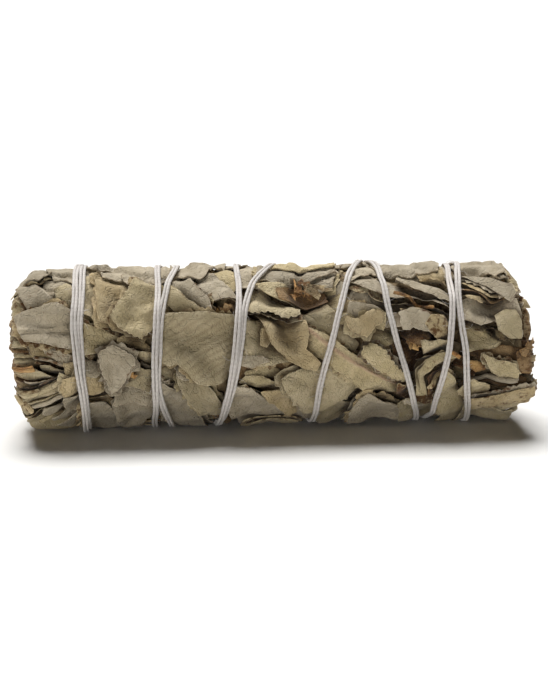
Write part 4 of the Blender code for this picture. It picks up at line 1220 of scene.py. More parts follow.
@dataclass
class LeafLayer:
    """Lays leaves on the stick, each over what is there."""

    ground: StickMap
    pinch: np.ndarray

    def margin(self, leaf: Leaf, spacing: float, seed: float) -> np.ndarray:
        """The leaf's edge as a closed row of points.

        Args:
            leaf: The leaf.
            spacing: Distance between the points.
            seed: Picks the leaf's own tears.

        Returns:
            Rows of x and y.
        """
        outline = places(leaf.outline)
        closed = np.vstack([outline, outline[:1]])
        lengths = np.concatenate([[0.0], np.cumsum(np.hypot(*np.diff(closed, axis=0).T))])
        parts = [np.linspace(start, end, max(int((end - start) / spacing), 1), endpoint=False)
                 for start, end in zip(lengths[:-1], lengths[1:])]
        along = np.concatenate(parts)
        points = np.column_stack([np.interp(along, lengths, closed[:, axis]) for axis in (0, 1)])
        way = np.roll(points, -1, axis=0) - np.roll(points, 1, axis=0)
        outward = np.column_stack([way[:, 1], -way[:, 0]])
        outward = outward / np.maximum(np.hypot(way[:, 0], way[:, 1]), 1e-6)[:, None]
        after = np.roll(points, -1, axis=0)
        area = 0.5 * np.sum(points[:, 0] * after[:, 1] - after[:, 0] * points[:, 1])
        outward *= 1.0 if area > 0.0 else -1.0
        wander = np.column_stack([noise(points, 4.0, seed + 2.3), noise(points, 4.0, seed + 4.1)])
        points = points + 0.3 * wander
        tears = np.abs(facets(points, 1.7, seed)) + 0.8 * np.abs(facets(points, 0.7, seed + 0.5)) - 0.55
        push = leaf.lap - 2.0 * leaf.torn * tears
        push += leaf.teeth * (np.abs(np.sin(math.pi * along / TOOTH_PITCH)) * 2.0 - 1.2)
        return points + outward * push[:, None]

    @staticmethod
    def inside(points: np.ndarray, edge: np.ndarray) -> np.ndarray:
        """Whether points lie inside a closed edge.

        Args:
            points: Rows of x and y.
            edge: Rows of x and y round it.

        Returns:
            True or false for each point.
        """
        result = np.zeros(len(points), dtype=bool)
        for (x0, y0), (x1, y1) in zip(edge, np.roll(edge, -1, axis=0)):
            crosses = (y0 > points[:, 1]) != (y1 > points[:, 1])
            if y1 != y0:
                result ^= crosses & (points[:, 0] < (x1 - x0) * (points[:, 1] - y0) / (y1 - y0) + x0)
        return result

    @staticmethod
    def away(points: np.ndarray, edge: np.ndarray) -> np.ndarray:
        """Distance of points from the nearest point of an edge."""
        gaps = points[:, None, :] - edge[None, :, :]
        return np.sqrt((gaps ** 2).sum(axis=2).min(axis=1))

    def flat_mesh(self, edge: np.ndarray, spacing: float) -> tuple[np.ndarray, np.ndarray]:
        """Points and triangles that fill a closed edge.

        Args:
            edge: Rows of x and y round the leaf.
            spacing: Distance between the points.

        Returns:
            The points and the triangles.
        """
        low = edge.min(axis=0)
        high = edge.max(axis=0)
        xs = np.arange(low[0], high[0], spacing)
        ys = np.arange(low[1], high[1], spacing * ROW_SHARE)
        grid = np.stack(np.meshgrid(xs, ys), axis=-1)
        grid[1::2, :, 0] += 0.5 * spacing
        grid = grid.reshape(-1, 2)
        grid = grid[self.inside(grid, edge)]
        if len(grid):
            grid = grid[self.away(grid, edge) > 0.5 * spacing]
        points = np.vstack([edge, grid]) if len(grid) else edge
        ring = list(range(len(edge)))
        found = delaunay_2d_cdt([Vector(point) for point in points], [], [ring], 1, 1e-5)
        corners = np.array([tuple(point) for point in found[0]])
        return corners, np.array([face for face in found[2] if len(face) == 3])

    def relief(self, leaf: Leaf, points: np.ndarray, rim: np.ndarray, seed: float) -> np.ndarray:
        """How far a leaf stands off what is below it.

        Args:
            leaf: The leaf.
            points: Places of its points.
            rim: Distance of each from the edge.
            seed: Picks the leaf's own creases.

        Returns:
            A height for each point.
        """
        turn = 5.1 * seed
        middle = points.mean(axis=0)
        slope = (points - middle) @ np.array([math.cos(turn), math.sin(turn)]) / max(np.ptp(points), 1.0)
        height = RISE_SHARE * leaf.rise + CROWN_SHARE * leaf.crown * (1.0 - np.exp(-(rim / 1.8) ** 2))
        height += TILT * slope
        lifted = np.clip(1.6 * noise(points, 3.5, seed + 1.0), -0.3, 1.0)
        height += leaf.curl * np.exp(-(rim / 0.8) ** 2) * lifted
        crumpled = CRUMPLE_SHARE * leaf.crumple * creases(points, seed + 2.0)
        height += crumpled - 0.1 * np.exp(-(rim / 0.25) ** 2)
        for fold in leaf.folds:
            gap, signed = distance_to_line(points, places(fold.line))
            if fold.step:
                height += fold.height / (1.0 + np.exp(-4.0 * signed / fold.width))
            else:
                height += fold.height * np.exp(-gap / fold.width)
        return height

    def grow(self, leaf: Leaf, seed: float, spacing: float = FRONT_MESH) -> Sheet:
        """Lay one leaf.

        Args:
            leaf: The leaf.
            seed: Picks its own tears and creases.
            spacing: Distance between its points.

        Returns:
            The leaf as a closed thin sheet.
        """
        edge = self.margin(leaf, spacing, seed)
        points, triangles = self.flat_mesh(edge, spacing)
        x, y = points.T
        rim = self.away(points, edge)
        near = self.ground.spread(1)
        soft = self.ground.smooth(self.ground.spread(4), 4.5)
        under = np.maximum(self.ground.read(soft, x, y), self.ground.read(near, x, y)) + CLEARANCE
        held = 1.0 - 0.85 * self.ground.read(self.pinch, x, y)
        height = self.relief(leaf, points, rim, seed) * held
        rib_line = np.zeros(len(points))
        if leaf.rib:
            gap, _ = distance_to_line(points, places(leaf.rib))
            rib_line = np.exp(-(gap / RIB_WIDTH) ** 4)
            height += np.exp(-(gap / RIB_WIDTH) ** 2) - 0.3 * np.exp(-(gap / 1.3) ** 2)
        vein = np.zeros(len(points))
        if leaf.veins:
            turn = math.radians(leaf.veins)
            across = x * math.sin(turn) - y * math.cos(turn) + 0.25 * noise(points, 4.0, seed)
            from_line = np.abs((across / VEIN_PITCH) % 1.0 - 0.5) - 0.5
            vein = np.exp(-(from_line / 0.2) ** 2) * np.clip(rim / 1.5, 0.0, 1.0)
            height += 0.07 * vein
        near_top = np.clip((y - TOP_FROM) / 2.5, 0.0, 1.0)
        hugging = self.ground.read(self.ground.smooth(near, 1.5), x, y)
        hugging = np.maximum(hugging, self.ground.read(near, x, y)) + CLEARANCE
        radius = under + np.maximum(height, 0.0)
        radius += near_top * (hugging + np.clip(height, 0.0, TOP_CAP) - radius)
        count = len(points)
        return self.thicken(x, y, radius, triangles, PieceMaker.blank_marks(
            count, seed * SEED_STRIDE, points, rim=np.exp(-(rim / 0.28) ** 2), rib=rib_line, vein=vein,
            dry=np.full(count, leaf.dry), tint=np.full(count, math.sin(seed * TINT_STRIDE))))

    def roll(self, leaf: Roll, seed: float) -> Sheet:
        """Lay one rolled leaf.

        Args:
            leaf: The roll.
            seed: Picks its own creases.

        Returns:
            The roll as a closed thin sheet.
        """
        line = places(leaf.line)
        lengths = np.concatenate([[0.0], np.cumsum(np.hypot(*np.diff(line, axis=0).T))])
        turn = np.linspace(0.0, 2.0 * math.pi * leaf.turns, int(22 * leaf.turns))
        share = np.linspace(0.0, 1.0, max(int(lengths[-1] / 0.4), 6))
        edge = np.column_stack([turn * leaf.size, np.zeros(len(turn))])
        starts = leaf.ragged * noise(edge, 1.5, seed)
        ends = lengths[-1] + leaf.ragged * noise(edge, 1.5, seed + 1.0)
        along = starts[None] + share[:, None] * (ends - starts)[None]
        x = np.interp(along, lengths, line[:, 0])
        y = np.interp(along, lengths, line[:, 1])
        x += np.where(along < 0.0, along, 0.0) * np.sign(line[1, 0] - line[0, 0])
        x += np.maximum(along - lengths[-1], 0.0) * np.sign(line[-1, 0] - line[-2, 0])
        way = line[-1] - line[0]
        way = way / np.hypot(*way)
        grid = np.column_stack([along.ravel(), np.tile(edge[:, 0], len(share))])
        bumps = 0.16 * noise(grid, 2.2, seed + 2.0) + 0.1 * creases(grid, seed + 3.0)
        bumps = 1.0 + bumps.reshape(along.shape)
        size = leaf.size * (0.5 + 0.5 * turn / turn[-1])[None] * bumps
        under = self.ground.smooth(self.ground.spread(2), 2.0)
        middle_x, middle_y = x.mean(axis=1), y.mean(axis=1)
        base = self.ground.read(under, middle_x, middle_y) + leaf.rise + 0.7 * leaf.height * leaf.size
        base -= 0.6 * self.ground.read(self.pinch, middle_x, middle_y)

        def skin(reach: np.ndarray) -> np.ndarray:
            """Points of the roll at a distance from its own middle line."""
            across = np.cos(turn)[None] * reach
            out = base[:, None] + leaf.height * np.sin(turn)[None] * reach
            return np.stack([x - way[1] * across, y + way[0] * across, out], axis=-1)

        outer = skin(size)
        inner = skin(size - ROLL_THICKNESS)
        near_end = np.minimum(along - starts[None], ends[None] - along)
        marks = PieceMaker.blank_marks(
            along.size, seed * SEED_STRIDE, grid, rim=np.exp(-(near_end.ravel() / 0.3) ** 2),
            dry=np.full(along.size, leaf.dry), tint=np.full(along.size, math.sin(seed * TINT_STRIDE)))
        marks = {key: value.reshape(*along.shape, -1) for key, value in marks.items()}
        self.ground.raise_to(outer.reshape(-1, 3))
        return Sheet.closed(outer, inner, marks)

    def thicken(self, x: np.ndarray, y: np.ndarray, radius: np.ndarray, triangles: np.ndarray,
                marks: dict[str, np.ndarray]) -> Sheet:
        """Close a sheet with an underside and a rim, and add it to the map.

        Args:
            x: Place of each point along the stick.
            y: Place of each point round the stick.
            radius: Distance of the underside from the axis.
            triangles: The sheet's triangles.
            marks: What the finish reads, for each point.

        Returns:
            The closed sheet.
        """
        corners = np.column_stack([x, y])[triangles]
        first = corners[:, 1] - corners[:, 0]
        second = corners[:, 2] - corners[:, 0]
        upside = first[:, 0] * second[:, 1] - first[:, 1] * second[:, 0] > 0.0
        triangles = np.where(upside[:, None], triangles, triangles[:, ::-1])
        self.ground.lay(x, y, radius + BLADE, triangles)
        count = len(x)
        top = np.column_stack([x, y, radius + BLADE])
        bottom = np.column_stack([x, y, radius])
        sides = np.concatenate([triangles[:, [0, 1]], triangles[:, [1, 2]], triangles[:, [2, 0]]])
        keys = np.sort(sides, axis=1)
        _, index, counts = np.unique(keys, axis=0, return_index=True, return_counts=True)
        rim = sides[index[counts == 1]]
        faces = [tuple(face) for face in triangles.tolist()]
        faces += [(c + count, b + count, a + count) for a, b, c in triangles.tolist()]
        faces += [(b, a, a + count, b + count) for a, b in rim.tolist()]
        doubled = {key: np.concatenate([values, values]) for key, values in marks.items()}
        return Sheet(np.vstack([top, bottom]), faces, doubled)


@dataclass
class CottonThread:
    """The doubled thread: wound to the right, back over itself, and knotted on the back."""

    passes: dict[str, str] = field(default_factory=lambda: {
        "1": "78,260 75,300 74,330 76,350 80,378 84,400 87,426",
        "2": "84.4,260 81.6,300 80,330 81,350 83,378 86,400 90,426",
        "3": "158,261 158,292 156,329 155,350 155,380 156,405 155,421",
        "4": "177,261 167,290 161,320 159,350 158,380 163,405 171,421",
        "5": "236,261 239,292 238,320 235,350 230,380 224,404 219,420",
        "6": "273,261 252,287 245,310 242,335 238,361 233,385 227,404 221,420",
        "7": "357,261 344,295 335,329 328,355 321,384 310,421",
        "8": "372,261 382,282 393,326 398,342 407,374 416,421",
        "9": "446,260 451,291 451,323 448,348 439,383 426,421",
        "10": "455,260 458,297 461,323 464,348 466,380 465,421",
    })
    order: tuple[str, ...] = ("2", "4", "6", "8", "10", "9", "7", "5", "3", "1")
    first_return: str = "9"
    underside_end: float = -122.0
    knot: tuple[float, float] = (-34.0, 176.0)
    tail_x: float = 2.2
    tail_degrees: float = 11.0
    strand_radius: float = 0.3
    strand_apart: float = 0.6
    step: float = 0.24
    sides: int = 8
    knot_size: float = 0.62
    fibre_count: int = 420
    fibre_length: tuple[float, float] = (0.7, 2.2)
    fibre_radius: float = 0.022
    fibre_seed: int = 33
    twist_pitch: float = 1.7
    pinch_cells: int = 9
    pinch_reach: float = 1.1
    taut_passes: int = 60
    sink: float = 0.12
    x: np.ndarray = field(init=False)
    y: np.ndarray = field(init=False)
    turning: int = field(init=False)

    def __post_init__(self) -> None:
        """Work out the route on the unrolled stick."""
        turn = 0.0
        knot_x, knot_degrees = self.knot
        degrees = math.degrees(1.0 / LEAF_RADIUS)
        spots = [(knot_x + self.tail_x, -(knot_degrees + self.tail_degrees)), (knot_x, -knot_degrees)]
        returning = 0.0
        for name in self.order:
            if name == self.first_return:
                returning = turn - 90.0
            row = places(self.passes[name])
            spots += [(x, turn - y * degrees) for x, y in row]
            spots.append((row[-1][0], turn - self.underside_end))
            turn += 360.0
        spots.append((knot_x, turn - knot_degrees))
        spots.append((knot_x + self.tail_x, turn - knot_degrees + self.tail_degrees))
        route = np.array(spots)
        wanted = np.arange(route[0, 1], route[-1, 1], self.step * degrees)
        self.x = self.smooth_through(wanted, route[:, 1], route[:, 0])
        self.y = -wanted / degrees
        self.turning = int(np.searchsorted(wanted, returning))

    @staticmethod
    def smooth_through(wanted: np.ndarray, knots: np.ndarray, values: np.ndarray) -> np.ndarray:
        """Cubic curve through values at knots.

        Args:
            wanted: Where the curve is read.
            knots: Where the values are given, rising.
            values: The values at the knots.

        Returns:
            The curve's value at each place.
        """
        slopes = np.gradient(values, knots)
        index = np.clip(np.searchsorted(knots, wanted, side="right") - 1, 0, len(knots) - 2)
        span = knots[index + 1] - knots[index]
        t = (wanted - knots[index]) / span
        start = (2 * t ** 3 - 3 * t ** 2 + 1) * values[index]
        start += (t ** 3 - 2 * t ** 2 + t) * span * slopes[index]
        end = (3 * t ** 2 - 2 * t ** 3) * values[index + 1]
        end += (t ** 3 - t ** 2) * span * slopes[index + 1]
        return start + end

    def pinch(self, ground: StickMap) -> np.ndarray:
        """How much the thread pulls the leaves in.

        Args:
            ground: The map of the stick.

        Returns:
            Shares from 0 to 1 over the unrolled stick.
        """
        grid = np.zeros_like(ground.grid)
        rows, columns = ground.cells(self.x, self.y)
        steps = range(-self.pinch_cells, self.pinch_cells + 1)
        for down in steps:
            row = np.round(rows + down).astype(int) % ground.ROWS
            for along in steps:
                value = math.exp(-((down ** 2 + along ** 2) * ground.CELL ** 2) / self.pinch_reach ** 2)
                np.maximum.at(grid, (row, np.round(columns + along).astype(int)), value)
        return grid

    def settle(self, ground: StickMap, part: slice) -> np.ndarray:
        """Distance from the axis to the thread's underside where it lies taut on the leaves.

        Args:
            ground: The map of the stick.
            part: Which part of the route.

        Returns:
            One distance for each point of that part.
        """
        x, y = self.x[part], self.y[part]
        shifts = np.linspace(-0.55, 0.55, 5)
        needed = np.max([ground.read(ground.grid, x + across, y) for across in shifts], axis=0)
        radius = needed
        for _ in range(self.taut_passes):
            radius = np.maximum(needed - self.sink, self.evened(radius, 3))
        return radius + 0.02

    @staticmethod
    def evened(values: np.ndarray, reach: int) -> np.ndarray:
        """Each value's mean with those up to a reach before and after it."""
        padded = np.pad(values, reach, mode="edge")
        return np.mean([padded[k:k + len(values)] for k in range(2 * reach + 1)], axis=0)

    def strand(self, x: np.ndarray, y: np.ndarray, radius: np.ndarray, side: float, seed: float) -> Sheet:
        """One plied strand along the route, in metres.

        Args:
            x: Route along the stick.
            y: Route round the stick.
            radius: Distance from the axis to its underside.
            side: Which of the two strands, -1 or 1.
            seed: Picks its own unevenness.

        Returns:
            The strand's surface.
        """
        along = np.arange(len(x)) * self.step
        spots = np.column_stack([along, along])
        wander = noise(spots, 6.0, seed)
        way = np.column_stack([np.gradient(x), np.gradient(y)])
        way /= np.hypot(way[:, 0], way[:, 1])[:, None]
        shift = side * 0.5 * self.strand_apart + 0.07 * wander
        center_x = x - way[:, 1] * shift
        center_y = y + way[:, 0] * shift
        center_r = radius + self.strand_radius + 0.05 * noise(spots, 4.0, seed + 3.0)
        middle = rolled(center_x, center_y, center_r)
        tangent = np.gradient(middle, axis=0)
        tangent /= np.linalg.norm(tangent, axis=1, keepdims=True)
        angle = center_y / LEAF_RADIUS
        out = np.column_stack([np.zeros(len(x)), -np.cos(angle), np.sin(angle)])
        out -= tangent * (out * tangent).sum(axis=1, keepdims=True)
        out /= np.linalg.norm(out, axis=1, keepdims=True)
        across = np.cross(tangent, out)
        turn = 2.0 * math.pi * np.arange(self.sides) / self.sides
        plied = 1.0 + 0.045 * np.cos(2.0 * (turn[None] - math.pi * along[:, None] / self.twist_pitch))
        uneven = 1.0 + 0.1 * noise(spots, 1.4, seed + 5.0)
        size = self.strand_radius * MM * plied * uneven[:, None]
        rings = middle[:, None] + size[..., None] * (
            np.cos(turn)[None, :, None] * across[:, None] + np.sin(turn)[None, :, None] * out[:, None])
        rings[..., 2] = np.maximum(rings[..., 2], 0.0)
        place = np.stack(np.broadcast_arrays(along[:, None], turn[None] * self.strand_radius, seed), axis=-1)
        faces = Sheet.ring_faces(len(x), self.sides)
        return Sheet(rings.reshape(-1, 3), faces, {"leaf_place": place.reshape(-1, 3)})

    @staticmethod
    def tube(line: np.ndarray, size: float, sides: int, seed: float) -> Sheet:
        """A round tube along points in space, closed at both ends.

        Args:
            line: Rows of x, y and z in metres.
            size: The tube's radius in millimetres.
            sides: Number of its sides.
            seed: Moves the pattern of its finish.

        Returns:
            The tube's surface.
        """
        tangent = np.gradient(line, axis=0)
        tangent /= np.maximum(np.linalg.norm(tangent, axis=1, keepdims=True), 1e-12)
        across = np.cross(tangent, [0.31, 0.93, 0.2])
        across /= np.linalg.norm(across, axis=1, keepdims=True)
        up = np.cross(across, tangent)
        turn = 2.0 * math.pi * np.arange(sides) / sides
        ring = np.cos(turn)[None, :, None] * across[:, None] + np.sin(turn)[None, :, None] * up[:, None]
        points = (line[:, None] + size * MM * ring).reshape(-1, 3)
        return Sheet(points, Sheet.ring_faces(len(line), sides, True), {"leaf_place": points / MM + seed})

    def knot_sheets(self, whole: np.ndarray) -> list[Sheet]:
        """The overhand knot on the back, of two strands, where the thread's two ends meet.

        Args:
            whole: Distance from the axis to the thread's underside, all along it.

        Returns:
            The knot's two loops.
        """
        x, degrees = self.knot
        radius = whole[-int(self.tail_degrees / math.degrees(self.step / LEAF_RADIUS))] + 1.1
        turn = np.linspace(0.0, 2.0 * math.pi, 70)
        sheets = []
        for number in (0, 1):
            size = self.knot_size * (1.0 - 0.14 * number)
            along = size * (np.sin(turn) + 2.0 * np.sin(2.0 * turn))
            around = size * 0.8 * (np.cos(turn) - 2.0 * np.cos(2.0 * turn))
            out = size * 0.9 * -np.sin(3.0 * turn) + radius + 0.25 * number
            line = rolled(x + along + 0.2 * number, math.radians(degrees) * LEAF_RADIUS + around, out)
            sheets.append(self.tube(line, self.strand_radius, self.sides, 3.0 * number))
        return sheets

    def fibre_sheets(self, whole: np.ndarray) -> list[Sheet]:
        """Loose cotton hairs that stand off the thread all along it.

        Args:
            whole: Distance from the axis to the thread's underside, all along it.

        Returns:
            One thin tube for each hair.
        """
        rng = np.random.default_rng(self.fibre_seed)
        sheets = []
        for spot in rng.integers(4, len(whole) - 4, self.fibre_count):
            share = np.linspace(0.0, 1.0, 7)
            reach = rng.uniform(*self.fibre_length)
            heading = rng.uniform(0.0, 2.0 * math.pi)
            bend = rng.uniform(-1.6, 1.6)
            lift = rng.uniform(0.1, 0.5)
            turned = heading + bend * share
            x = self.x[spot] + rng.uniform(-0.5, 0.5) + reach * share * np.cos(turned)
            y = self.y[spot] + reach * share * np.sin(turned)
            out = whole[spot] + 1.4 * self.strand_radius + lift * np.sin(math.pi * share) + 0.1 * share
            sheets.append(self.tube(rolled(x, y, out), self.fibre_radius, 3, float(spot)))
        return sheets

    def build(self, ground: StickMap, finishes: Finishes) -> None:
        """Lay the thread and fasten it.

        Args:
            ground: The map of the stick.
            finishes: The materials.
        """
        out = slice(0, self.turning)
        radius = self.settle(ground, slice(0, self.turning + 1))
        for shift in np.linspace(-0.5, 0.5, 7):
            rows, columns = ground.cells(self.x[out] + shift, self.y[out])
            spot = (np.round(rows).astype(int) % ground.ROWS, np.round(columns).astype(int))
            np.maximum.at(ground.grid, spot, radius[:self.turning] + 1.7 * self.strand_radius)
        back = self.settle(ground, slice(self.turning, len(self.x)))
        whole = np.concatenate([radius[:self.turning], back])
        whole = self.evened(whole, 4)
        pieces = {
            "cotton_strand_1": self.strand(self.x, self.y, whole, -1.0, 11.0),
            "cotton_strand_2": self.strand(self.x, self.y, whole, 1.0, 22.0),
            "cotton_knot": PieceMaker.joined(self.knot_sheets(whole)),
            "cotton_fibres": PieceMaker.joined(self.fibre_sheets(whole)),
        }
        for name, sheet in pieces.items():
            nodes = ("cotton_thread",) if name == "cotton_strand_1" else ()
            PieceMaker.piece(name, sheet.points, sheet, finishes.thread, "cotton_thread", nodes, sharp=180.0)


@dataclass
class Sprigs:
    """The seven inner sprigs: pressed leaves, leaf ends and cut stems."""

    count: int = 6
    first_angle: float = 30.0
    inner_radius: float = 5.5
    body_half_length: float = 47.2
    sheet_root: float = 39.0
    sheet_thickness: float = 0.24
    sheets: tuple[tuple[float, float], ...] = (
        (6.2, 50.0), (7.4, 50.3), (8.5, 50.2), (9.5, 50.2), (10.4, 50.0), (11.2, 49.9), (11.9, 49.7),
        (12.5, 49.4))
    center_sheets: tuple[tuple[float, float], ...] = (
        (1.0, 49.5), (1.9, 49.8), (2.8, 49.6), (3.7, 50.0), (4.6, 49.7), (5.4, 49.9))
    light_from: float = 49.5
    light_fade: float = 6.0
    seed: int = 5
    made: dict[str, Sheet] = field(default_factory=dict)
    stems: Sheet | None = None

    def end_sheet(self, middle: float, spread: float, radius: float, side: float, reach: float,
                  rng: np.random.Generator) -> Sheet:
        """One leaf end that stands out of a sprig.

        Args:
            middle: Angle of its middle, in degrees.
            spread: Half its angle, in degrees.
            radius: Its distance from the axis.
            side: -1 for the left end of the stick, 1 for the right.
            reach: How far along the stick it goes.
            rng: The random draws.

        Returns:
            The leaf end as a closed sheet.
        """
        seed = float(rng.uniform(0.0, 90.0))
        around = np.linspace(-1.0, 1.0, 26)
        along = np.array([0.0, 0.3, 0.5, 0.65, 0.77, 0.86, 0.93, 1.0])
        degrees = middle + around * spread
        arc = np.column_stack([np.radians(degrees) * radius, np.zeros(len(degrees))])
        ragged = 0.8 * noise(arc, 3.0, seed) + 0.35 * noise(arc, 1.1, seed + 1.0)
        ends = reach + ragged - 1.5 * np.abs(around) ** 3
        distance = self.sheet_root + along[None] * (ends[:, None] - self.sheet_root)
        wave = 0.6 * noise(arc, 3.5, seed + 2.0)[:, None] * along[None] ** 1.5
        wave = wave + 0.25 * noise(arc, 1.3, seed + 3.0)[:, None] * along[None] ** 2
        out = (radius + wave) * shoulder(distance)
        y = np.broadcast_to(np.radians(degrees)[:, None] * LEAF_RADIUS, distance.shape)
        tip = np.broadcast_to(along[None], distance.shape)
        outer = np.stack([side * distance, y, out], axis=-1)
        inner = outer - [0.0, 0.0, self.sheet_thickness]
        count = distance.size
        marks = PieceMaker.blank_marks(
            count, seed, outer.reshape(-1, 3)[:, :2], rim=tip.ravel() ** 6 * 0.8,
            dry=0.55 * tip.ravel() ** 4, tint=np.full(count, math.sin(seed)))
        marks = {key: value.reshape(*distance.shape, -1) for key, value in marks.items()}
        if side < 0.0:
            outer, inner = outer[::-1], inner[::-1]
            marks = {key: value[::-1] for key, value in marks.items()}
        return Sheet.closed(outer, inner, marks)

    def body(self, middle: float, ground: StickMap, pinch: np.ndarray, seed: float) -> Sheet:
        """The pressed leaves of one outer sprig as a wedge with a creased outside.

        Args:
            middle: Angle of its middle, in degrees.
            ground: The map of the stick.
            pinch: How much the thread pulls it in.
            seed: Picks its own creases.

        Returns:
            The wedge.
        """
        stations = np.linspace(-self.body_half_length, self.body_half_length, 150)
        half = 180.0 / self.count - 0.5
        degrees = middle + np.linspace(-half, half, 27)
        y = np.radians(degrees) * LEAF_RADIUS
        grid_x, grid_y = np.meshgrid(stations, y, indexing="ij")
        flat = np.column_stack([grid_x.ravel(), grid_y.ravel()])
        crease = 0.35 * noise(flat * [0.35, 1.0], 1.6, seed) + 0.2 * noise(flat, 1.1, seed + 1.0)
        pulled = 0.5 * ground.read(pinch, flat[:, 0], flat[:, 1])
        radius = BASE_RADIUS * shoulder(flat[:, 0]) + crease - pulled
        outer = np.column_stack([flat, radius]).reshape(len(stations), len(y), 3)
        inner_y = np.radians(middle + np.array([half, 0.0, -half])) * LEAF_RADIUS
        rings = []
        for number, x in enumerate(stations):
            inner = np.column_stack([np.full(3, x), inner_y, np.full(3, self.inner_radius)])
            rings.append(np.vstack([outer[number], inner]))
        faces = Sheet.ring_faces(len(stations), len(y) + 3)
        points = np.vstack(rings)
        number = np.arange(len(flat)).reshape(len(stations), len(y))
        corners = [number[:-1, :-1], number[1:, :-1], number[1:, 1:], number[:-1, 1:]]
        quads = np.stack(corners, axis=-1).reshape(-1, 4)
        triangles = np.concatenate([quads[:, [0, 1, 2]], quads[:, [0, 2, 3]]])
        ground.lay(flat[:, 0], flat[:, 1], radius, triangles)
        count = len(points)
        marks = PieceMaker.blank_marks(count, seed, points[:, :2], dry=np.full(count, 0.3),
                                       tint=np.full(count, -0.8))
        return Sheet(points, faces, marks)

    def core(self) -> Sheet:
        """The pressed leaves of the middle sprig.

        Returns:
            A many-sided rod.
        """
        reach = self.body_half_length + 0.4
        turn = np.linspace(0.0, 2.0 * math.pi, 36, endpoint=False)
        ring = np.array([-reach, -0.5 * reach, 0.0, 0.5 * reach, reach])
        size = self.inner_radius * (1.0 + 0.05 * np.cos(5.0 * turn))
        points = np.array([[x, angle * LEAF_RADIUS, out] for x in ring for angle, out in zip(turn, size)])
        count = len(points)
        marks = PieceMaker.blank_marks(count, 7.0, points[:, :2], dry=np.full(count, 0.3))
        return Sheet(points, Sheet.ring_faces(len(ring), len(turn)), marks)

    @staticmethod
    def stem(middle: float, radius: float, thickness: float, start: float, end: float, seed: float) -> Sheet:
        """A woody stem along the stick, a little crooked, cut across at its end.

        Args:
            middle: Its angle round the stick, in degrees.
            radius: Its distance from the stick's axis.
            thickness: Half its width.
            start: Where it comes out of the sprig.
            end: Where it is cut.
            seed: Picks its own bends.

        Returns:
            The stem's surface.
        """
        stations = np.linspace(start, end, 14)
        turn = np.linspace(0.0, 2.0 * math.pi, 12, endpoint=False)
        angle = math.radians(middle)
        line = np.column_stack([stations, stations])
        rings = []
        for number, x in enumerate(stations):
            bend = 0.25 * noise(line, 5.0, seed)[number]
            size = thickness * (1.0 + 0.1 * noise(line, 2.0, seed + 1.0)[number])
            y = -radius * math.cos(angle) + bend + size * np.cos(turn)
            z = AXIS_HEIGHT + radius * math.sin(angle) + size * np.sin(turn) * (1.0 + 0.08 * np.cos(3 * turn))
            rings.append(np.column_stack([np.full(len(turn), x), y, z]) * MM)
        faces = Sheet.ring_faces(len(stations), len(turn), True)
        if end < start:
            faces = [face[::-1] for face in faces]
        points = np.vstack(rings)
        cut = np.zeros(len(points))
        cut[-len(turn):] = 1.0
        return Sheet(points, faces, {"rim": cut, "leaf_place": points / MM + seed})

    def lay(self, ground: StickMap, pinch: np.ndarray) -> None:
        """Make the sheets of all seven sprigs and their stems.

        Args:
            ground: The map of the stick.
            pinch: How much the thread pulls the sprigs in.
        """
        rng = np.random.default_rng(self.seed)
        stems = [self.stem(0.0, 0.0, 0.9, -40.0, -49.3, 1.0), self.stem(0.0, 0.0, 0.9, 40.0, 49.0, 2.0)]
        for number in range(1, self.count + 1):
            middle = self.first_angle + 360.0 / self.count * (number - 1)
            sheets = [self.body(middle, ground, pinch, 3.0 * number)]
            for side in (-1.0, 1.0):
                for radius, reach in self.sheets:
                    turned = middle + rng.uniform(-9.0, 9.0)
                    far = reach + rng.uniform(-1.3, 0.3)
                    sheets.append(self.end_sheet(turned, rng.uniform(20.0, 31.0), radius, side, far, rng))
                stems.append(self.stem(middle + rng.uniform(-9, 9), 8.0, 0.8, side * 40.0,
                                       side * rng.uniform(48.0, 49.4), 10.0 * number + side))
            self.made[f"sprig_{number}"] = PieceMaker.joined(sheets)
        sheets = [self.core()]
        for side in (-1.0, 1.0):
            for radius, reach in self.center_sheets:
                for turn in (rng.uniform(0.0, 120.0), rng.uniform(180.0, 300.0)):
                    sheets.append(self.end_sheet(turn, 85.0, radius, side, reach, rng))
        self.made["center_sprig"] = PieceMaker.joined(sheets)
        self.stems = PieceMaker.joined(stems)

    def build(self, ground: StickMap, finishes: Finishes) -> None:
        """Fasten all seven sprigs and their stems.

        Args:
            ground: The map of the stick.
            finishes: The materials.
        """
        for name, sheet in self.made.items():
            # Painted shade by depth, faded out towards the leaf ends that stand out into the light.
            inward = np.clip((self.light_from - np.abs(sheet.points[:, 0])) / self.light_fade, 0.1, 1.0)
            sheet.marks["deep"] = ground.deepness(sheet.points) * inward
            PieceMaker.piece(f"sage_{name}", ground.place(sheet.points), sheet, finishes.leaf[Tone.SPRIG],
                             "sprig", (name,), sharp=70.0)
        PieceMaker.piece("sprig_stems", self.stems.points, self.stems, finishes.stem, "sprig")


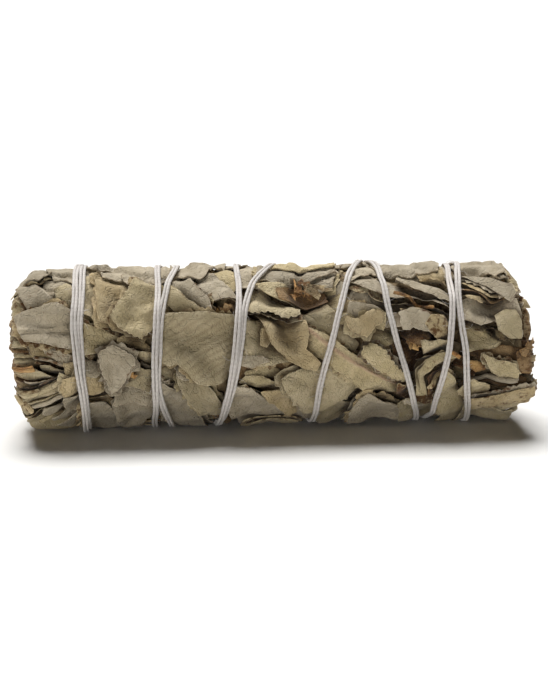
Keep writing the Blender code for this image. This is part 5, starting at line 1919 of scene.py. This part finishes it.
@dataclass
class WrapLeaves:
    """All leaves on the outside, from the lowest layer up."""

    under_leaves: int = 48
    back_scraps: int = 46
    back_ends: int = 18
    back_strips: int = 24
    seed: int = 21
    leaves: dict[int, tuple[Tone, Sheet]] = field(default_factory=dict)
    scraps: dict[Tone, list[Sheet]] = field(default_factory=dict)

    def leaf_shape(self, x: float, degrees: float, length: float, span: float, tilt: float) -> str:
        """The outline of a pointed leaf lying along the stick.

        Args:
            x: Its middle along the stick.
            degrees: Its middle round the stick.
            length: Its length.
            span: Its width, in degrees.
            tilt: How many degrees its ends lie off its middle.

        Returns:
            The outline in the words of places.
        """
        words = []
        for number, turn in enumerate(np.linspace(0.0, 2.0 * math.pi, 12, endpoint=False)):
            uneven = 1.0 + 0.14 * math.sin(12.9 * (number + 1) * (x + 60.0))
            along = math.cos(turn) * uneven
            across = math.sin(turn) * abs(math.sin(turn)) ** 0.45 * (1.0 - 0.25 * along) * uneven
            away_x = 0.5 * length * along
            away_degrees = 0.5 * span * across + tilt * along
            words.append(f"@{x + away_x:.2f},{degrees + away_degrees:.2f}")
        return " ".join(words)

    def under_layer(self, rng: np.random.Generator) -> list[Leaf]:
        """Leaves that cover the sprigs all round, below the ones that show.

        Args:
            rng: The random draws.

        Returns:
            The leaves.
        """
        leaves = []
        tones = (O, G, T, O, P, G)
        for number in range(self.under_leaves):
            x = rng.uniform(-40.0, 40.0)
            degrees = 360.0 * (number + rng.uniform(0.0, 1.0)) / self.under_leaves * 5.0
            outline = self.leaf_shape(x, degrees % 360.0, rng.uniform(12.0, 22.0), rng.uniform(30.0, 48.0),
                                      rng.uniform(-12.0, 12.0))
            leaves.append(Leaf(outline, tones[number % len(tones)], rise=0.05, crown=0.15, crumple=0.55,
                               torn=0.3))
        return leaves

    def back_layer(self, rng: np.random.Generator) -> list[Leaf | Roll]:
        """The nine big leaves of the back, and smaller ones and strips over them.

        Args:
            rng: The random draws.

        Returns:
            The leaves and rolls, from the lowest up.
        """
        leaves = []
        for row, middle in enumerate(BACK_ROWS):
            for column, x in enumerate(BACK_COLUMNS):
                number = row * len(BACK_COLUMNS) + column
                outline = self.leaf_shape(x + rng.uniform(-1.5, 1.5), middle, BACK_LEAF_LENGTH,
                                          BACK_LEAF_SPAN, rng.uniform(-7.0, 7.0))
                leaves.append(Leaf(outline, BACK_TONES[number], number + 1, rise=0.3, crown=0.25, torn=0.16))
        tones = (P, G, O, T, P, G)
        for number in range(self.back_scraps):
            x = rng.uniform(-43.0, 43.0)
            degrees = rng.uniform(112.0, 292.0)
            outline = self.leaf_shape(x, degrees, rng.uniform(7.0, 17.0), rng.uniform(16.0, 36.0),
                                      rng.uniform(-16.0, 16.0))
            leaves.append(Leaf(outline, tones[number % len(tones)], rise=rng.uniform(0.1, 0.5),
                               torn=rng.uniform(0.06, 0.3), curl=rng.uniform(0.1, 0.5),
                               dry=rng.uniform(0.0, 0.5)))
        for number in range(self.back_ends):
            side = 1.0 if number % 2 else -1.0
            degrees = 118.0 + 176.0 * number / self.back_ends
            outline = self.leaf_shape(side * rng.uniform(42.5, 44.5), degrees, rng.uniform(8.5, 11.0),
                                      rng.uniform(30.0, 44.0), rng.uniform(-8.0, 8.0))
            leaves.append(Leaf(outline, tones[number % len(tones)], rise=0.1, torn=0.2))
        for number in range(self.back_strips):
            x = rng.uniform(-40.0, 40.0)
            degrees = rng.uniform(115.0, 290.0)
            reach = rng.uniform(5.0, 11.0)
            slant = rng.uniform(-14.0, 14.0)
            if number % 3:
                outline = self.leaf_shape(x, degrees, 2.0 * reach, rng.uniform(8.0, 15.0), slant)
                leaves.append(Leaf(outline, tones[number % len(tones)], rise=0.4, crown=0.5, curl=0.4,
                                   torn=0.04))
            else:
                path = " ".join(f"@{x + share * reach:.2f},{degrees + share * slant:.2f}"
                                for share in (-1.0, 0.0, 1.0))
                leaves.append(Roll(path, tones[number % len(tones)], rng.uniform(0.45, 0.8), rise=0.1))
        return leaves

    def crushed(self, leaves: list[Leaf | Roll | Crumbs], rng: np.random.Generator) -> list[Leaf | Roll]:
        """The same leaves, with the bits of each group of crumbs in its place.

        Args:
            leaves: The leaves, rolls and crumbs.
            rng: The random draws.

        Returns:
            The leaves and rolls.
        """
        found = []
        for leaf in leaves:
            if not isinstance(leaf, Crumbs):
                found.append(leaf)
                continue
            middle = places(leaf.place)[0]
            for _ in range(leaf.count):
                spot = middle + rng.uniform(-1.0, 1.0, 2) * leaf.spread
                turns = np.sort(rng.uniform(0.0, 2.0 * math.pi, 5))
                reach = leaf.size * rng.uniform(0.6, 1.5, 5)
                around = np.degrees((spot[1] + reach * np.sin(turns)) / LEAF_RADIUS)
                corners = zip(spot[0] + reach * np.cos(turns), around)
                outline = " ".join(f"@{x:.2f},{degrees:.2f}" for x, degrees in corners)
                found.append(Leaf(outline, leaf.tone, rise=leaf.rise, curl=0.5, crumple=0.5, torn=0.05,
                                  lap=0.0, dry=rng.uniform(0.0, 0.5)))
        return found

    def with_laps(self, leaves: list[Leaf | Roll], rng: np.random.Generator) -> list[Leaf | Roll]:
        """Leaves, each large one with another below it that shows a little past its edge.

        Args:
            leaves: The leaves and rolls.
            rng: The random draws.

        Returns:
            The same and the added ones, from the lowest up.
        """
        tones = (O, P, G, T)
        found = []
        for number, leaf in enumerate(leaves):
            if leaf.node and isinstance(leaf, Leaf):
                found.append(replace(leaf, node=0, tone=tones[number % len(tones)], rise=0.05,
                                     lap=rng.uniform(0.6, 1.1), torn=0.6, crumple=0.4, rib="", veins=0.0,
                                     teeth=0.0, dry=rng.uniform(0.0, 0.6)))
            found.append(leaf)
        return found

    def lay(self, layer: LeafLayer) -> None:
        """Lay every leaf.

        Args:
            layer: Lays them on the map of the stick.
        """
        rng = np.random.default_rng(self.seed)
        hidden = self.under_layer(rng)
        back = self.back_layer(rng)
        front = LEFT_END + FIRST_BAY + SECOND_BAY + THIRD_BAY + FOURTH_BAY + RIGHT_END + UNDERSIDE
        for number, leaf in enumerate(hidden + back + self.with_laps(self.crushed(front, rng), rng)):
            seed = 1.0 + 0.37 * number
            if isinstance(leaf, Roll):
                sheet = layer.roll(leaf, seed)
            elif number < len(hidden):
                sheet = layer.grow(leaf, seed, HIDDEN_MESH)
            else:
                coarse = number < len(hidden) + len(back) or leaf.lap > FULL_LAP
                sheet = layer.grow(leaf, seed, BACK_MESH if coarse else FRONT_MESH)
            if leaf.node:
                self.leaves[leaf.node] = (leaf.tone, sheet)
            else:
                self.scraps.setdefault(leaf.tone, []).append(sheet)

    def build(self, ground: StickMap, finishes: Finishes) -> None:
        """Fasten every leaf.

        Args:
            ground: The map of the stick.
            finishes: The materials.
        """
        pieces = [(f"sage_wrap_leaf_{number:02d}", tone, sheet, (f"wrap_leaf_{number:02d}",))
                  for number, (tone, sheet) in sorted(self.leaves.items())]
        pieces += [(f"leaf_scraps_{tone.value}", tone, PieceMaker.joined(sheets), ())
                   for tone, sheets in self.scraps.items()]
        for name, tone, sheet, nodes in pieces:
            # Painted shade by depth below the outside nearby.
            sheet.marks["deep"] = ground.deepness(sheet.points)
            PieceMaker.piece(name, ground.place(sheet.points), sheet, finishes.leaf[tone],
                             finishes.slot[tone], nodes)


@dataclass
class Studio:
    """Pale floor, soft light and the camera."""

    floor_size: float = 6.0
    floor_color: tuple[float, float, float] = (0.88, 0.87, 0.845)
    floor_roughness: float = 0.7
    overhead_from: tuple[float, float, float] = (-0.1, 0.36, 1.0)
    overhead_angle: float = 38.0
    overhead_power: float = 4.5
    fill_from: tuple[float, float, float] = (-0.4, -1.0, 0.0)
    fill_angle: float = 30.0
    fill_power: float = 1.15
    ambient: float = 0.01
    backdrop: float = 1.2

    def floor(self) -> None:
        """A plain pale floor."""
        bpy.ops.mesh.primitive_plane_add(size=self.floor_size)
        plane = bpy.context.active_object
        plane.name = "floor"
        made, _ = Wiring.of_material("studio_floor", {
            "Base Color": opaque(self.floor_color), "Roughness": self.floor_roughness})
        plane.data.materials.append(made)

    def softbox(self, name: str, source: tuple[float, float, float], angle: float, power: float) -> None:
        """A soft light from far away.

        Args:
            name: The light's name.
            source: Direction that it comes from.
            angle: Its width in degrees.
            power: Its strength.
        """
        light = bpy.data.lights.new(name, "SUN")
        light.angle = math.radians(angle)
        light.energy = power
        item = bpy.data.objects.new(name, light)
        item.location = source
        item.rotation_euler = (-Vector(source)).to_track_quat("-Z", "Y").to_euler()
        bpy.context.scene.collection.objects.link(item)

    def camera(self) -> None:
        """The photograph's view."""
        forward, right, up = View.axes()
        middle = np.array([0.0, 0.0, AXIS_HEIGHT])
        frame_center = (0.5 * View.FRAME_PX[0] - View.CENTER_PX[0],
                        View.CENTER_PX[1] - 0.5 * View.FRAME_PX[1])
        eye = middle - forward * View.DISTANCE
        aim = forward + right * frame_center[0] / View.FOCAL_PX + up * frame_center[1] / View.FOCAL_PX
        data = bpy.data.cameras.new("camera")
        data.lens = View.FOCAL_PX / View.FRAME_PX[1] * View.SENSOR_MM
        data.sensor_width = View.SENSOR_MM
        data.clip_start = 0.01
        item = bpy.data.objects.new("camera", data)
        item.location = Vector(eye * MM)
        item.rotation_euler = Vector(aim).to_track_quat("-Z", "Y").to_euler()
        bpy.context.scene.collection.objects.link(item)
        bpy.context.scene.camera = item

    def surroundings(self) -> None:
        """Weak light from all round, and plain white where the camera looks past the floor."""
        world = bpy.data.worlds.new("studio")
        world.use_nodes = True
        wires = Wiring(world.node_tree)
        background = world.node_tree.nodes["Background"]
        background.inputs["Color"].default_value = opaque((1.0, 1.0, 1.0))
        seen = wires.add("ShaderNodeLightPath").outputs["Is Camera Ray"]
        strength = wires.add("ShaderNodeMapRange", {0: seen, 3: self.ambient, 4: self.backdrop}).outputs[0]
        wires.tree.links.new(strength, background.inputs["Strength"])
        bpy.context.scene.world = world

    def build(self) -> None:
        """Set up the studio."""
        self.floor()
        self.softbox("overhead", self.overhead_from, self.overhead_angle, self.overhead_power)
        self.softbox("front_fill", self.fill_from, self.fill_angle, self.fill_power)
        self.surroundings()
        self.camera()
        bpy.context.scene.view_settings.view_transform = "Standard"


def main() -> None:
    """Build the stick from the inside out, then the studio."""
    logging.basicConfig(level=logging.INFO, format="%(message)s")
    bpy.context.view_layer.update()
    finishes = Finishes()
    ground = StickMap()
    thread = CottonThread()
    pinch = thread.pinch(ground)
    sprigs = Sprigs()
    leaves = WrapLeaves()
    sprigs.lay(ground, pinch)
    leaves.lay(LeafLayer(ground, pinch))
    ground.press()
    sprigs.build(ground, finishes)
    leaves.build(ground, finishes)
    thread.build(ground, finishes)
    Studio().build()
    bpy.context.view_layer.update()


if __name__ == "__main__":
    main()
